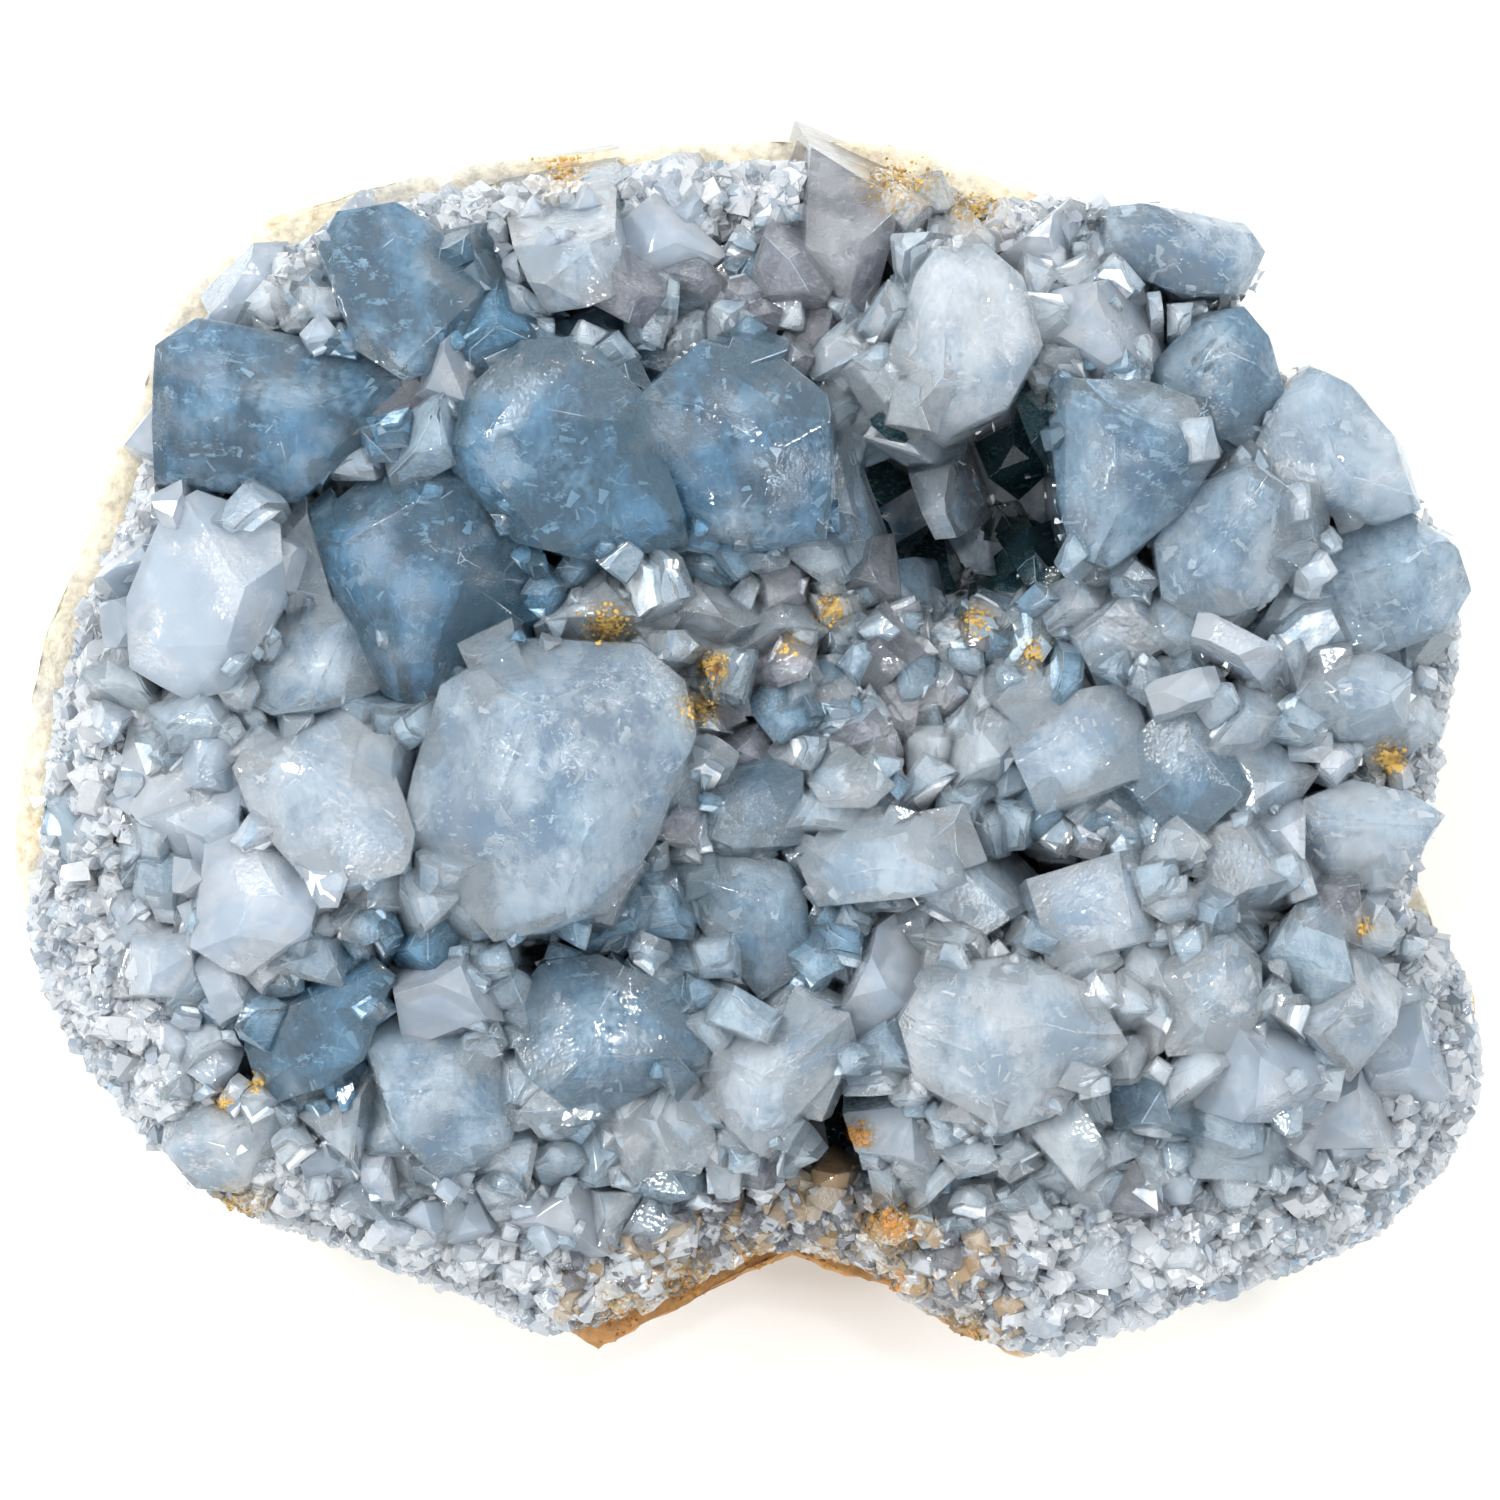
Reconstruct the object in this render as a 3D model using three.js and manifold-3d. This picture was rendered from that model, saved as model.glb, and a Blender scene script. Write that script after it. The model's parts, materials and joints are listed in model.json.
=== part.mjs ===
// A celestite crystal cluster: a piece of geode wall lying on its back, crystals up.
//
// Millimetres, +Z up, +X to the right and +Y to the top of the piece seen from above.
// The origin is in the middle of the outline, on the surface that the piece rests on.
// Two solids: the pale rock of the wall, and the crystals that grew on it as one crust.

import * as THREE from 'three';
import { ConvexGeometry } from 'three/addons/geometries/ConvexGeometry.js';
import { mergeVertices } from 'three/addons/utils/BufferGeometryUtils.js';
import Module from 'manifold-3d';

// Driving dimensions

const LENGTH = 100; // along X, from the left rind to the right druse
const WALL = 8.5; // rock under the crystals at the middle of the bowl
const RIM_TOP = 17; // height of the rock at its rim, on average
const RIM_RISE = 3.5; // how much higher the rim stands at the smooth upper left
const SEAM = 0.35; // clearance between rock and crystals
const CRUST = 2.4; // thickness at the rim of the layer that the crystals stand in
const CRUST_SWELL = 11; // how much thicker it is in the middle
const CRUST_LUMP = 3.2; // how uneven its surface is
const RIND_WIDTH = 0.055; // bare rind at the smooth upper left, as a share of the radius
const REST = 0.56; // share of the outline's radius that is flat underneath
const REACH = 1.3; // how far the seam runs past the outline, as a share of its radius
const ROOT = 1.5; // how far below the seam a crystal starts
const TAU = Math.PI * 2;

// Where the rings of the seam and of the crust lie, as shares of the outline's radius

const SEAM_RINGS = [0, 0.4, 0.74, 1, REACH];
const CRUST_RINGS = [1, 0.86, 0.68, 0.5, 0.3, 0];
const SEAM_SECTORS = 24;
const CRUST_SECTORS = 30;
const ROCK_SECTORS = 38;

// Waves in the seam: height, how many go round, and how far they twist from the middle to the rim

const SEAM_WAVES = [[0.7, 3, 5], [0.5, 7, -4]];

// How uneven the wall is: in height, as a share of the radius, and what is left of that where
// the rind is whole

const ROCK_LUMP = { up: 0.64, out: 0.032, whole: 0.2 };

// The wall from the resting face to the rim: share of the radius and share of the rim's height

const WALL_PROFILE = [
  [0, 0], [REST, 0], [0.74, 0.08], [0.88, 0.28], [0.965, 0.58], [1, 0.9],
];

// Directions in degrees: the whole rind runs from the top to the left, the arch is at the bottom

const RIND_START = 68;
const RIND_END = 186;
const RIND_FADE = 10;
const ARCH_START = 254;
const ARCH_END = 293;

// The small crystals along the rim, and the grains that stand out of the broken rock. A pair in
// square brackets is the least and the most.

const RIM_DRUSE = {
  rows: [0.91, 0.965], // shares of the outline's radius
  pitch: 7.4,
  width: [3.2, 5.6],
  taper: 0.6, // how much narrower the outer row is
  breadth: [0.6, 1], // shares of the width
  stand: [1.2, 4.2], // how far the tips stand out of the crust
  inward: 1.6, // how much further they do inside the rim
  lean: [4, 22], // degrees
  outward: 12, // how much further they lean at the rim
  wander: 70, // how far that lean may turn from straight out, in degrees
  flat: [0.1, 0.4],
};

const GRAINS = {
  tiers: [[0.955, 0.55], [0.985, 0.86]], // shares of the radius and of the rim's height
  pitch: 12,
  width: [3.2, 5.4],
  breadth: [0.7, 1],
  upward: [-0.1, 0.5], // how far they point up
  sides: 4,
};

// Gaps between the crystals that stay open down to the crust: x, y, radius

const HOLLOWS = [[14.6, 17.6, 6.6], [-12.4, -13.2, 3.4], [5.8, -24.9, 2.6], [18.0, -8.6, 3.0]];

// The outline of the rock, seen from above, counter-clockwise from the right

const OUTLINE = [
  [46.6, 1.5], [47.6, 7.0], [47.2, 13.0], [43.6, 19.0], [39.0, 22.8], [34.6, 25.8],
  [32.2, 30.6], [27.0, 35.2], [19.5, 37.6], [13.6, 39.8], [6.7, 41.0], [-3.4, 41.0],
  [-16.8, 39.7], [-27.5, 37.5], [-34.2, 34.7], [-37.6, 32.2], [-40.3, 26.8], [-42.3, 20.7],
  [-44.6, 14.7], [-47.2, 8.9], [-49.3, 0.6], [-49.9, -5.0], [-48.4, -12.5], [-45.6, -19.2],
  [-41.6, -24.6], [-36.2, -29.6], [-30.4, -32.0], [-24.8, -34.2], [-18.6, -36.8], [-13.6, -39.2],
  [-10.2, -40.2], [-7.0, -38.6], [-3.2, -36.9], [0.4, -35.2], [3.6, -34.7], [7.0, -35.6],
  [11.4, -38.2], [14.6, -40.4], [17.2, -41.4], [22.6, -39.8], [29.0, -37.6], [35.2, -35.4],
  [42.4, -32.6], [47.2, -27.6], [49.4, -21.4], [48.2, -15.4], [44.2, -10.8], [45.4, -5.0],
];

// The large crystals. Each has the outline of its shoulder seen from above, the height of its
// top, how far its end faces rise from the shoulder, and the tilt of its flat top with the
// direction that it tilts towards.

const LARGE_CRYSTALS = [
  { // the blue block in the upper left corner
    top: 34, rise: 3.4, tilt: 10, toward: 250,
    outline: [
      [-22.6, 23.4], [-25.4, 26.4], [-36.4, 28.4], [-39, 26.6], [-39.2, 18], [-30.2, 16.7],
      [-27, 19.4],
    ],
  },
  { // the smoky one beside it
    top: 33.5, rise: 4.4, tilt: 9, toward: 60,
    outline: [
      [-16.8, 30.1], [-20.1, 34.2], [-23.5, 36.2], [-27.2, 35.6], [-28.5, 33], [-26.8, 27.1],
      [-22.5, 24.4], [-18.1, 25.8],
    ],
  },
  { // the right one of the three great plates
    top: 35.5, rise: 2.8, tilt: 7, toward: 275,
    outline: [
      [5.7, 19.4], [4.8, 23.4], [1.3, 26.2], [-3, 26.8], [-7.4, 23.1], [-7.4, 18.1],
      [-3.4, 14.4], [0.7, 13.5], [4.7, 14.2],
    ],
  },
  { // the middle plate
    top: 34.2, rise: 2.6, tilt: 8, toward: 250,
    outline: [
      [-7, 23.1], [-11.1, 27.1], [-15.1, 26.8], [-18.8, 23.4], [-19.5, 18.7], [-15.4, 14],
      [-10.1, 12.7], [-4, 14],
    ],
  },
  { // the left plate
    top: 32.4, rise: 3, tilt: 9, toward: 235,
    outline: [
      [-14.4, 10], [-15.4, 14.7], [-19.5, 19.1], [-23.8, 19.1], [-28.9, 15], [-27.2, 10],
      [-24.2, 4], [-20.8, 2.5], [-18.1, 6.3],
    ],
  },
  { // the notch between two plates
    top: 30.2, rise: 2.4, tilt: 12, toward: 80,
    outline: [
      [-3, 25.1], [-3.4, 29.5], [-8.4, 29.9], [-12.8, 28.8], [-13.8, 27.2], [-10, 24.6],
      [-6.7, 23.4],
    ],
  },
  { // the pale glossy one at the left
    top: 34.6, rise: 3.4, tilt: 10, toward: 200,
    outline: [
      [-30.9, 10], [-31.4, 15], [-36.6, 16.9], [-38.7, 15.7], [-41.1, 10], [-40.9, 5.6],
      [-37.2, 3.6], [-33.9, 4.3],
    ],
  },
  { // the small roof below the left plate
    top: 32.6, rise: 3.6, tilt: 12, toward: 110,
    outline: [
      [-24.5, 4], [-25.2, 7.3], [-27.2, 10], [-30.2, 9.6], [-33.6, 6.3], [-34.2, 3.8],
      [-30.2, 1.8],
    ],
  },
  { // the frosted rhomb left of the centre
    top: 34.6, rise: 3, tilt: 9, toward: 150,
    outline: [
      [-22.3, -5.4], [-24.5, 0.6], [-27.2, 2.5], [-32.8, 0.7], [-34, -1.3], [-33.4, -3.8],
      [-29.5, -8.3], [-27.2, -9.3], [-22.7, -7.9],
    ],
  },
  { // the white one below it
    top: 33.6, rise: 3, tilt: 13, toward: 225,
    outline: [
      [-28.5, -9.3], [-30.2, -7.1], [-33.9, -4.8], [-36.6, -5.8], [-37.4, -13.5], [-32.6, -15],
      [-29.5, -13.2],
    ],
  },
  { // the pale lavender one at the left edge
    top: 29, rise: 3, tilt: 15, toward: 185,
    outline: [
      [-33.9, -2.8], [-33.9, 1.6], [-36.9, 3.3], [-40.9, 3.3], [-42.3, -2.8], [-40.3, -5.1],
      [-36.9, -4.6],
    ],
  },
  { // the grey lens on the rim
    top: 23.6, rise: 2, tilt: 22, toward: 180,
    outline: [[-43, -7.4], [-43.6, -2.1], [-46.6, -1.9], [-47.8, -3.6], [-47, -7.4], [-44.6, -9.5]],
  },
  { // a pale one on the left rim
    top: 24.2, rise: 2.8, tilt: 18, toward: 195,
    outline: [
      [-37.6, -13.5], [-39.6, -8.8], [-45, -10.1], [-45.3, -13.5], [-43.6, -16.8], [-38.9, -16.8],
    ],
  },
  { // the largest, the one that stands proudest
    top: 38, rise: 5, tilt: 5, toward: 300,
    outline: [
      [-4, 0.9], [-4.7, 4.3], [-7.4, 6.6], [-15.4, 7], [-20.1, 4], [-21.8, -1.4],
      [-22.7, -5.4], [-16.8, -12.1], [-10.1, -11.1], [-6.7, -6.1],
    ],
  },
  { // the deep blue one with the sharp point
    top: 29.8, rise: 3.4, tilt: 12, toward: 210,
    outline: [
      [-23.6, -15.2], [-26.2, -12.8], [-29.5, -13.8], [-32.8, -15.8], [-33.6, -20.2], [-31.9, -23.4],
      [-27.9, -22.2], [-25.6, -20.5],
    ],
  },
  { // the green-blue one
    top: 32.4, rise: 4, tilt: 9, toward: 255,
    outline: [
      [-15.4, -23.6], [-16.4, -17.5], [-21.5, -17.4], [-25, -18.2], [-25.4, -20.2], [-23.8, -25.2],
      [-20.5, -28.4], [-16.4, -26.9],
    ],
  },
  { // the round-shouldered one at the lower middle
    top: 33.6, rise: 4.6, tilt: 7, toward: 310,
    outline: [
      [-2.8, -19.4], [-6, -15.5], [-10.1, -13.8], [-13.8, -14.5], [-15.8, -17.2], [-15.3, -20.9],
      [-10.7, -24.6], [-7.4, -22.9], [-3.4, -21],
    ],
  },
  { // the pale one below it
    top: 30.4, rise: 3, tilt: 11, toward: 240,
    outline: [[-2, -25.6], [-3.4, -21.4], [-6.7, -22.2], [-8.9, -24.4], [-7.4, -27.9], [-3.4, -28.1]],
  },
  { // the slanting block above the small hole
    top: 31.6, rise: 3, tilt: 10, toward: 130,
    outline: [
      [7, -20.2], [6.5, -17.5], [2.7, -16.8], [-2, -19.5], [-3, -21.9], [-1.6, -25.6],
      [1.2, -26.9], [3.6, -24.2],
    ],
  },
  { // one on the lower left rim
    top: 26.6, rise: 3, tilt: 16, toward: 220,
    outline: [
      [-30.9, -27.2], [-31.2, -24.9], [-34.9, -21.5], [-38.6, -22.9], [-39.2, -26.6], [-37, -29.2],
      [-33.6, -29.6],
    ],
  },
  { // the overhanging one at the top of the pocket
    top: 37.2, rise: 4.6, tilt: 12, toward: 262,
    outline: [
      [19.1, 26.8], [17.8, 31.1], [15.4, 33.2], [12.4, 33], [9.9, 29.8], [8.7, 24.4],
      [9.4, 22.6], [12.8, 21], [16.8, 22.8],
    ],
  },
  { // the upper right corner, with the free tip
    top: 30.4, rise: 3.4, tilt: 16, toward: 310,
    outline: [
      [34.1, 33.2], [32.9, 35], [26.8, 36.2], [24, 36], [23.8, 32.7], [28.9, 30.3],
      [32.9, 30.6],
    ],
  },
  { // the blue one under the corner
    top: 31.4, rise: 3.6, tilt: 14, toward: 60,
    outline: [
      [35.4, 23.7], [34.4, 27.4], [32.8, 29.3], [29.9, 28.9], [26.8, 25.4], [26.8, 21.7],
      [31.9, 19.6],
    ],
  },
  { // the clear block right of the pocket
    top: 34.8, rise: 2.8, tilt: 7, toward: 200,
    outline: [
      [31, 19.7], [29.2, 23.1], [26.2, 24.2], [20.8, 24.4], [20, 23.2], [20.6, 16.7],
      [21.5, 13], [24.2, 12.3], [28.9, 16.4],
    ],
  },
  { // the one that points up at the right
    top: 32.4, rise: 4, tilt: 17, toward: 75,
    outline: [
      [44.4, 16.2], [43.3, 20.1], [39.9, 24.1], [37.2, 25.4], [34.4, 22.4], [32.9, 19.3],
      [36.9, 16], [41.6, 15.2],
    ],
  },
  { // the long pale one
    top: 34.6, rise: 3.4, tilt: 9, toward: 310,
    outline: [
      [37.6, 14], [36.2, 16.7], [32.6, 19.3], [28.9, 16.7], [27, 13.7], [27.5, 10.3],
      [30.2, 8.5], [34.4, 10],
    ],
  },
  { // the blue one on the right rim
    top: 29.4, rise: 3.4, tilt: 15, toward: 0,
    outline: [
      [47.9, 10.7], [46.8, 13.7], [43.6, 15.7], [38.9, 14.7], [36.2, 10.7], [37.6, 7],
      [41.6, 6.3], [46.3, 8],
    ],
  },
  { // a pale one below it
    top: 28.8, rise: 3, tilt: 13, toward: 340,
    outline: [[44.3, 5], [41.6, 6.6], [36.9, 6], [36.2, 1.9], [39.6, -0.4], [43.6, 0.6]],
  },
  { // the pale one above the notch in the right edge
    top: 27.8, rise: 3, tilt: 14, toward: 350,
    outline: [
      [46.2, -4.4], [44, -3], [40.3, -2.1], [36.9, -3.4], [36.6, -6.8], [39.6, -9.5],
      [43.4, -8.6],
    ],
  },
  { // the pale dome at the lower right
    top: 35.2, rise: 4.4, tilt: 6, toward: 285,
    outline: [
      [24.7, -19.5], [22.5, -15.8], [17.4, -13.8], [12.1, -14.3], [10.1, -17.9], [11.4, -22.6],
      [16.1, -25.4], [19.8, -24.1],
    ],
  },
  { // the frosted one right of the dome
    top: 31.8, rise: 3.4, tilt: 9, toward: 320,
    outline: [
      [33.9, -17.5], [33.9, -14.2], [31.2, -12], [28.9, -12.5], [26.2, -15.8], [27.9, -20.2],
      [32.2, -19.9],
    ],
  },
  { // the pale arch-shaped one in the middle
    top: 31.6, rise: 2.6, tilt: 10, toward: 275,
    outline: [
      [14.4, -9.3], [13.8, -7.5], [12.1, -4.8], [8.7, -3.8], [5.4, -4.6], [3.4, -7.4],
      [4.7, -10.3],
    ],
  },
  { // the small one behind it
    top: 30.4, rise: 2, tilt: 11, toward: 110,
    outline: [[9.7, -2.4], [6.7, 0.1], [4.4, 0.1], [3.2, -0.7], [4.7, -3.8], [8.7, -3.8]],
  },
  { // the blue one right of the largest
    top: 29.6, rise: 3, tilt: 12, toward: 320,
    outline: [[3.4, -6.1], [3.4, -1.4], [0.7, -0.1], [-3.4, -1.4], [-4.7, -5.4], [-0.7, -7.4]],
  },
  { // the striated plates below it
    top: 30.8, rise: 2.6, tilt: 16, toward: 10,
    outline: [[4, -14.2], [3.4, -8.1], [0, -6.8], [-4.4, -7.4], [-3.4, -11.5], [0.7, -16.4]],
  },
];

// The other crystals that can be told apart, each by its place, the height of its top, its width
// and breadth, the turn of its width, its lean and the direction it leans to, and how much of its
// top is flat

const SMALL_CRYSTALS = [
  // the upper left
  [-24.4, 22.4, 31.4, 15.6, 3.4, 36, 9, 290, 0.4],
  [-20.4, 24.4, 32.4, 6.2, 4.2, 30, 14, 270, 0.3],
  [-11.4, 31.2, 33.4, 6.4, 4.6, 18, 20, 275, 0.5],
  [-33.4, 31.0, 26.0, 7.0, 6.0, 30, 22, 130, 0.3],
  [-27.6, 35.2, 24.6, 5.4, 4.6, 10, 22, 105, 0.25],
  [-40.2, 21.0, 24.4, 5.0, 8.0, 10, 26, 180, 0.3],
  [-18.0, 8.0, 29.8, 11.6, 9.0, 58, 14, 250, 0.4],
  [-10.2, 9.8, 30.2, 9.0, 6.0, 20, 12, 100, 0.3],
  [-6.0, 11.2, 29.0, 6.4, 5.0, 50, 14, 60, 0.3],
  [5.4, 17.6, 30.0, 4.8, 8.6, 4, 18, 350, 0.4],
  [-29.6, 12.6, 29.4, 4.4, 9.0, 14, 8, 25, 0.5],
  [-44.0, 3.6, 22.0, 6.0, 6.6, 20, 24, 175, 0.2],
  [-23.4, -8.4, 29.8, 7.0, 6.0, 40, 18, 330, 0.2],
  // the lower left
  [-22.0, -11.8, 27.6, 12.4, 7.0, 160, 14, 275, 0.35],
  [-35.4, -17.2, 26.4, 5.6, 6.4, 8, 17, 185, 0.4],
  [-19.6, -15.2, 32.8, 8.2, 5.6, 6, 12, 95, 0.2],
  [-12.8, -25.4, 26.4, 7.6, 7.4, 44, 28, 235, 0.25],
  [-42.0, -19.4, 21.0, 7.6, 7.0, 50, 26, 210, 0.2],
  [-27.2, -25.2, 28.0, 7.0, 9.0, 4, 12, 255, 0.3],
  [-26.2, -30.4, 24.4, 8.2, 6.2, 20, 22, 260, 0.2],
  [-19.4, -31.4, 23.8, 8.0, 6.4, 40, 20, 265, 0.2],
  [-12.8, -31.2, 25.4, 9.4, 8.0, 14, 16, 275, 0.2],
  // the middle channel
  [-5.6, -12.4, 26.4, 6.0, 10.0, 20, 18, 30, 0.1],
  [-3.6, 9.8, 28.8, 8.4, 5.6, 30, 14, 90, 0.2],
  [2.2, 8.6, 27.8, 6.4, 5.8, 52, 16, 20, 0.15],
  [-1.8, 4.2, 27.6, 6.6, 5.4, 15, 18, 40, 0.2],
  [8.7, 7.2, 27.4, 5.2, 4.6, 36, 14, 60, 0.1],
  [4.4, 3.6, 26.4, 5.2, 5.4, 12, 16, 190, 0.15],
  [10.6, 2.4, 25.4, 5.0, 5.6, 66, 18, 250, 0.1],
  [18.8, 4.8, 27.4, 5.8, 6.2, 40, 14, 80, 0.25],
  [16.0, -1.8, 23.8, 5.8, 5.2, 30, 18, 310, 0.1],
  [10.4, -12.2, 27.2, 8.4, 4.6, 10, 18, 270, 0.3],
  // the pocket
  [12.8, 16.2, 24.6, 2.8, 4.8, 14, 14, 250, 0.2],
  [17.8, 19.8, 19.6, 5.0, 5.0, 40, 20, 230, 0.2],
  [18.6, 12.6, 21.6, 5.6, 4.2, 25, 16, 180, 0.1],
  // the top edge
  [6.4, 32.4, 30.0, 5.6, 9.4, -18, 16, 285, 0.2],
  [0.6, 30.6, 28.0, 5.4, 5.2, 30, 18, 300, 0.15],
  [4.8, 27.0, 29.0, 4.6, 4.4, 10, 14, 250, 0.2],
  [6.6, 22.4, 26.4, 4.2, 6.0, 24, 18, 320, 0.15],
  [-5.8, 34.0, 28.4, 5.4, 6.2, 40, 16, 80, 0.2],
  [11.4, 36.0, 25.6, 6.2, 4.8, 20, 18, 80, 0.2],
  [19.4, 34.4, 26.6, 6.6, 5.2, 8, 18, 90, 0.2],
  [22.6, 27.8, 31.0, 6.4, 6.4, 16, 10, 190, 0.4],
  // the right
  [31.9, 7.2, 33.0, 5.8, 2.2, 158, 10, 120, 0.5],
  [29.0, 4.2, 31.4, 5.4, 2.4, 16, 12, 100, 0.5],
  [24.8, 9.4, 30.0, 7.4, 6.4, 24, 14, 100, 0.2],
  [29.4, -1.0, 30.2, 8.2, 8.0, 40, 10, 30, 0.25],
  [21.8, 0.6, 30.0, 9.0, 7.2, 14, 12, 150, 0.3],
  [24.4, -4.2, 28.4, 6.0, 4.4, 20, 18, 250, 0.2],
  [34.0, -2.4, 28.6, 6.6, 6.6, 62, 14, 10, 0.2],
  [43.4, 2.6, 26.0, 6.0, 6.6, 30, 20, 0, 0.2],
  [34.2, -8.2, 30.4, 7.0, 7.6, 36, 12, 330, 0.2],
  [38.6, -11.6, 28.0, 4.4, 5.0, 10, 14, 280, 0.4],
  [23.8, -10.0, 31.0, 9.4, 6.2, 8, 10, 60, 0.25],
  // the lower right
  [8.0, -15.4, 30.6, 6.4, 5.6, 36, 12, 200, 0.25],
  [34.8, -22.0, 30.0, 9.2, 6.8, 168, 12, 300, 0.25],
  [40.4, -16.8, 28.0, 7.4, 7.2, 48, 16, 350, 0.2],
  [45.0, -20.8, 22.6, 6.2, 7.2, 20, 24, 0, 0.2],
  [27.2, -24.2, 27.6, 6.6, 6.2, 30, 12, 250, 0.2],
  [10.4, -26.8, 26.8, 7.0, 5.8, 20, 18, 260, 0.15],
  [26.2, -30.2, 23.0, 6.6, 5.6, 30, 20, 270, 0.3],
  [33.8, -28.2, 25.0, 8.6, 6.2, 8, 20, 285, 0.2],
  [41.6, -26.0, 22.6, 7.4, 6.8, 40, 26, 320, 0.2],
  [18.4, -29.8, 24.6, 7.8, 6.0, 24, 18, 265, 0.2],
  [23.2, -34.6, 21.0, 5.4, 4.4, 12, 22, 270, 0.3],
];

// How the faces of a crystal lie, in degrees

const DRAFT = 4; // lean of the prism faces towards the top
const GENTLE = 27; // slope of the flattest end faces
const STEEP = 72; // slope of the steepest
const BARE = 54; // where an end face would be steeper than this, the prism face runs to the top
const TOP_SLOPE = [2, 9]; // slope of the face across the tip
const STRAY = 9; // how far the faces of a small crystal may stray
const PRISM_SIDES = 4;
const END_FACES = 3;
const SHOULDER = 0.3; // how far below the tip a small crystal's sides start, as a share of its width
const GROWTH = 1.05; // outlines grown by this, so that neighbours meet

// Scatter

function scatter(n) {
  const s = Math.sin(n * 12.9898) * 43758.5453;
  return s - Math.floor(s);
}

function between([low, high], n) {
  return low + (high - low) * scatter(n);
}

function astray(most, n) {
  return between([-most, most], n);
}

const radians = THREE.MathUtils.degToRad;
const { smoothstep } = THREE.MathUtils;

// Solids

const wasm = await Module();
wasm.setup();

function solidFrom(geometry) {
  geometry.deleteAttribute('normal');
  geometry.deleteAttribute('uv');
  const merged = mergeVertices(geometry, 1e-5);
  const index = merged.index.array;
  const kept = [];
  for (let i = 0; i < index.length; i += 3) {
    const [a, b, c] = [index[i], index[i + 1], index[i + 2]];
    if (a !== b && b !== c && c !== a) kept.push(a, b, c);
  }
  const mesh = new wasm.Mesh({
    numProp: 3,
    vertProperties: new Float32Array(merged.attributes.position.array),
    triVerts: new Uint32Array(kept),
  });
  return new wasm.Manifold(mesh);
}

function joined(solids) {
  let pile = solids;
  while (pile.length > 1) {
    const next = [];
    for (let i = 0; i < pile.length; i += 2) {
      next.push(i + 1 < pile.length ? pile[i].add(pile[i + 1]) : pile[i]);
    }
    pile = next;
  }
  return pile[0];
}

// The outer skin of a solid: the specks of air that the joins shut in are filled

function geometryFrom(solid) {
  const { vertProperties, triVerts } = solid.getMesh();
  const group = Array.from({ length: vertProperties.length / 3 }, (_, vertex) => vertex);
  const leader = (vertex) => {
    let found = vertex;
    while (group[found] !== found) found = group[found];
    group[vertex] = found;
    return found;
  };
  for (let i = 0; i < triVerts.length; i += 3) {
    group[leader(triVerts[i + 1])] = leader(triVerts[i]);
    group[leader(triVerts[i + 2])] = leader(triVerts[i]);
  }
  const sizes = new Map();
  triVerts.forEach((vertex) => sizes.set(leader(vertex), (sizes.get(leader(vertex)) ?? 0) + 1));
  const [skin] = [...sizes].reduce((most, entry) => (entry[1] > most[1] ? entry : most));
  const geometry = new THREE.BufferGeometry();
  geometry.setAttribute('position', new THREE.BufferAttribute(vertProperties, 3));
  geometry.setIndex([...triVerts].filter((vertex) => leader(vertex) === skin));
  return geometry;
}

// The outline as a smooth closed curve, and its radius in any direction

const outlineCurve = new THREE.CatmullRomCurve3(
  OUTLINE.map(([x, y]) => new THREE.Vector3(x, y, 0)),
  true,
  'centripetal',
);
const outlineRadii = radiiOf(outlineCurve.getPoints(OUTLINE.length * 12), 720);

function radiiOf(points, steps) {
  const polar = points.map((p) => [(Math.atan2(p.y, p.x) + TAU) % TAU, Math.hypot(p.x, p.y)]);
  polar.sort((a, b) => a[0] - b[0]);
  const radii = [];
  let next = 0;
  for (let i = 0; i < steps; i += 1) {
    const angle = (i / steps) * TAU;
    while (next < polar.length && polar[next][0] < angle) next += 1;
    const after = polar[next % polar.length];
    const before = polar[(next + polar.length - 1) % polar.length];
    const span = (after[0] - before[0] + TAU) % TAU || 1;
    const share = ((angle - before[0] + TAU) % TAU) / span;
    radii.push(before[1] + (after[1] - before[1]) * share);
  }
  return radii;
}

function outlineRadius(angle) {
  const place = (((angle / TAU) % 1) + 1) % 1 * outlineRadii.length;
  const low = Math.floor(place) % outlineRadii.length;
  const high = (low + 1) % outlineRadii.length;
  return THREE.MathUtils.lerp(outlineRadii[low], outlineRadii[high], place - Math.floor(place));
}

// Heights of the bowl: the rim stands highest at the upper left

function rimTop(angle) {
  return RIM_TOP + RIM_RISE * Math.cos(angle - radians(140));
}

function seamHeight(share, angle) {
  const climb = smoothstep(share, 0.35, 1.05);
  const wave = SEAM_WAVES.reduce(
    (sum, [height, turns, twist]) => sum + height * Math.sin(turns * angle + twist * share),
    0,
  );
  return WALL + (rimTop(angle) - WALL) * climb + wave * Math.sin(Math.PI * Math.min(share, 1));
}

// Where the rind is still whole: from the top round to the left. 1 there, 0 on the broken edge

function wholeRind(angle) {
  const turn = THREE.MathUtils.radToDeg((angle + TAU) % TAU);
  return smoothstep(turn, RIND_START - RIND_FADE, RIND_START)
    * (1 - smoothstep(turn, RIND_END, RIND_END + RIND_FADE));
}

// A turned solid pulled out to the outline: its profile gives shares of the radius and heights,
// and shape turns a share, a direction, a profile height and a facet number into a radius share
// and a real height

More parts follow.
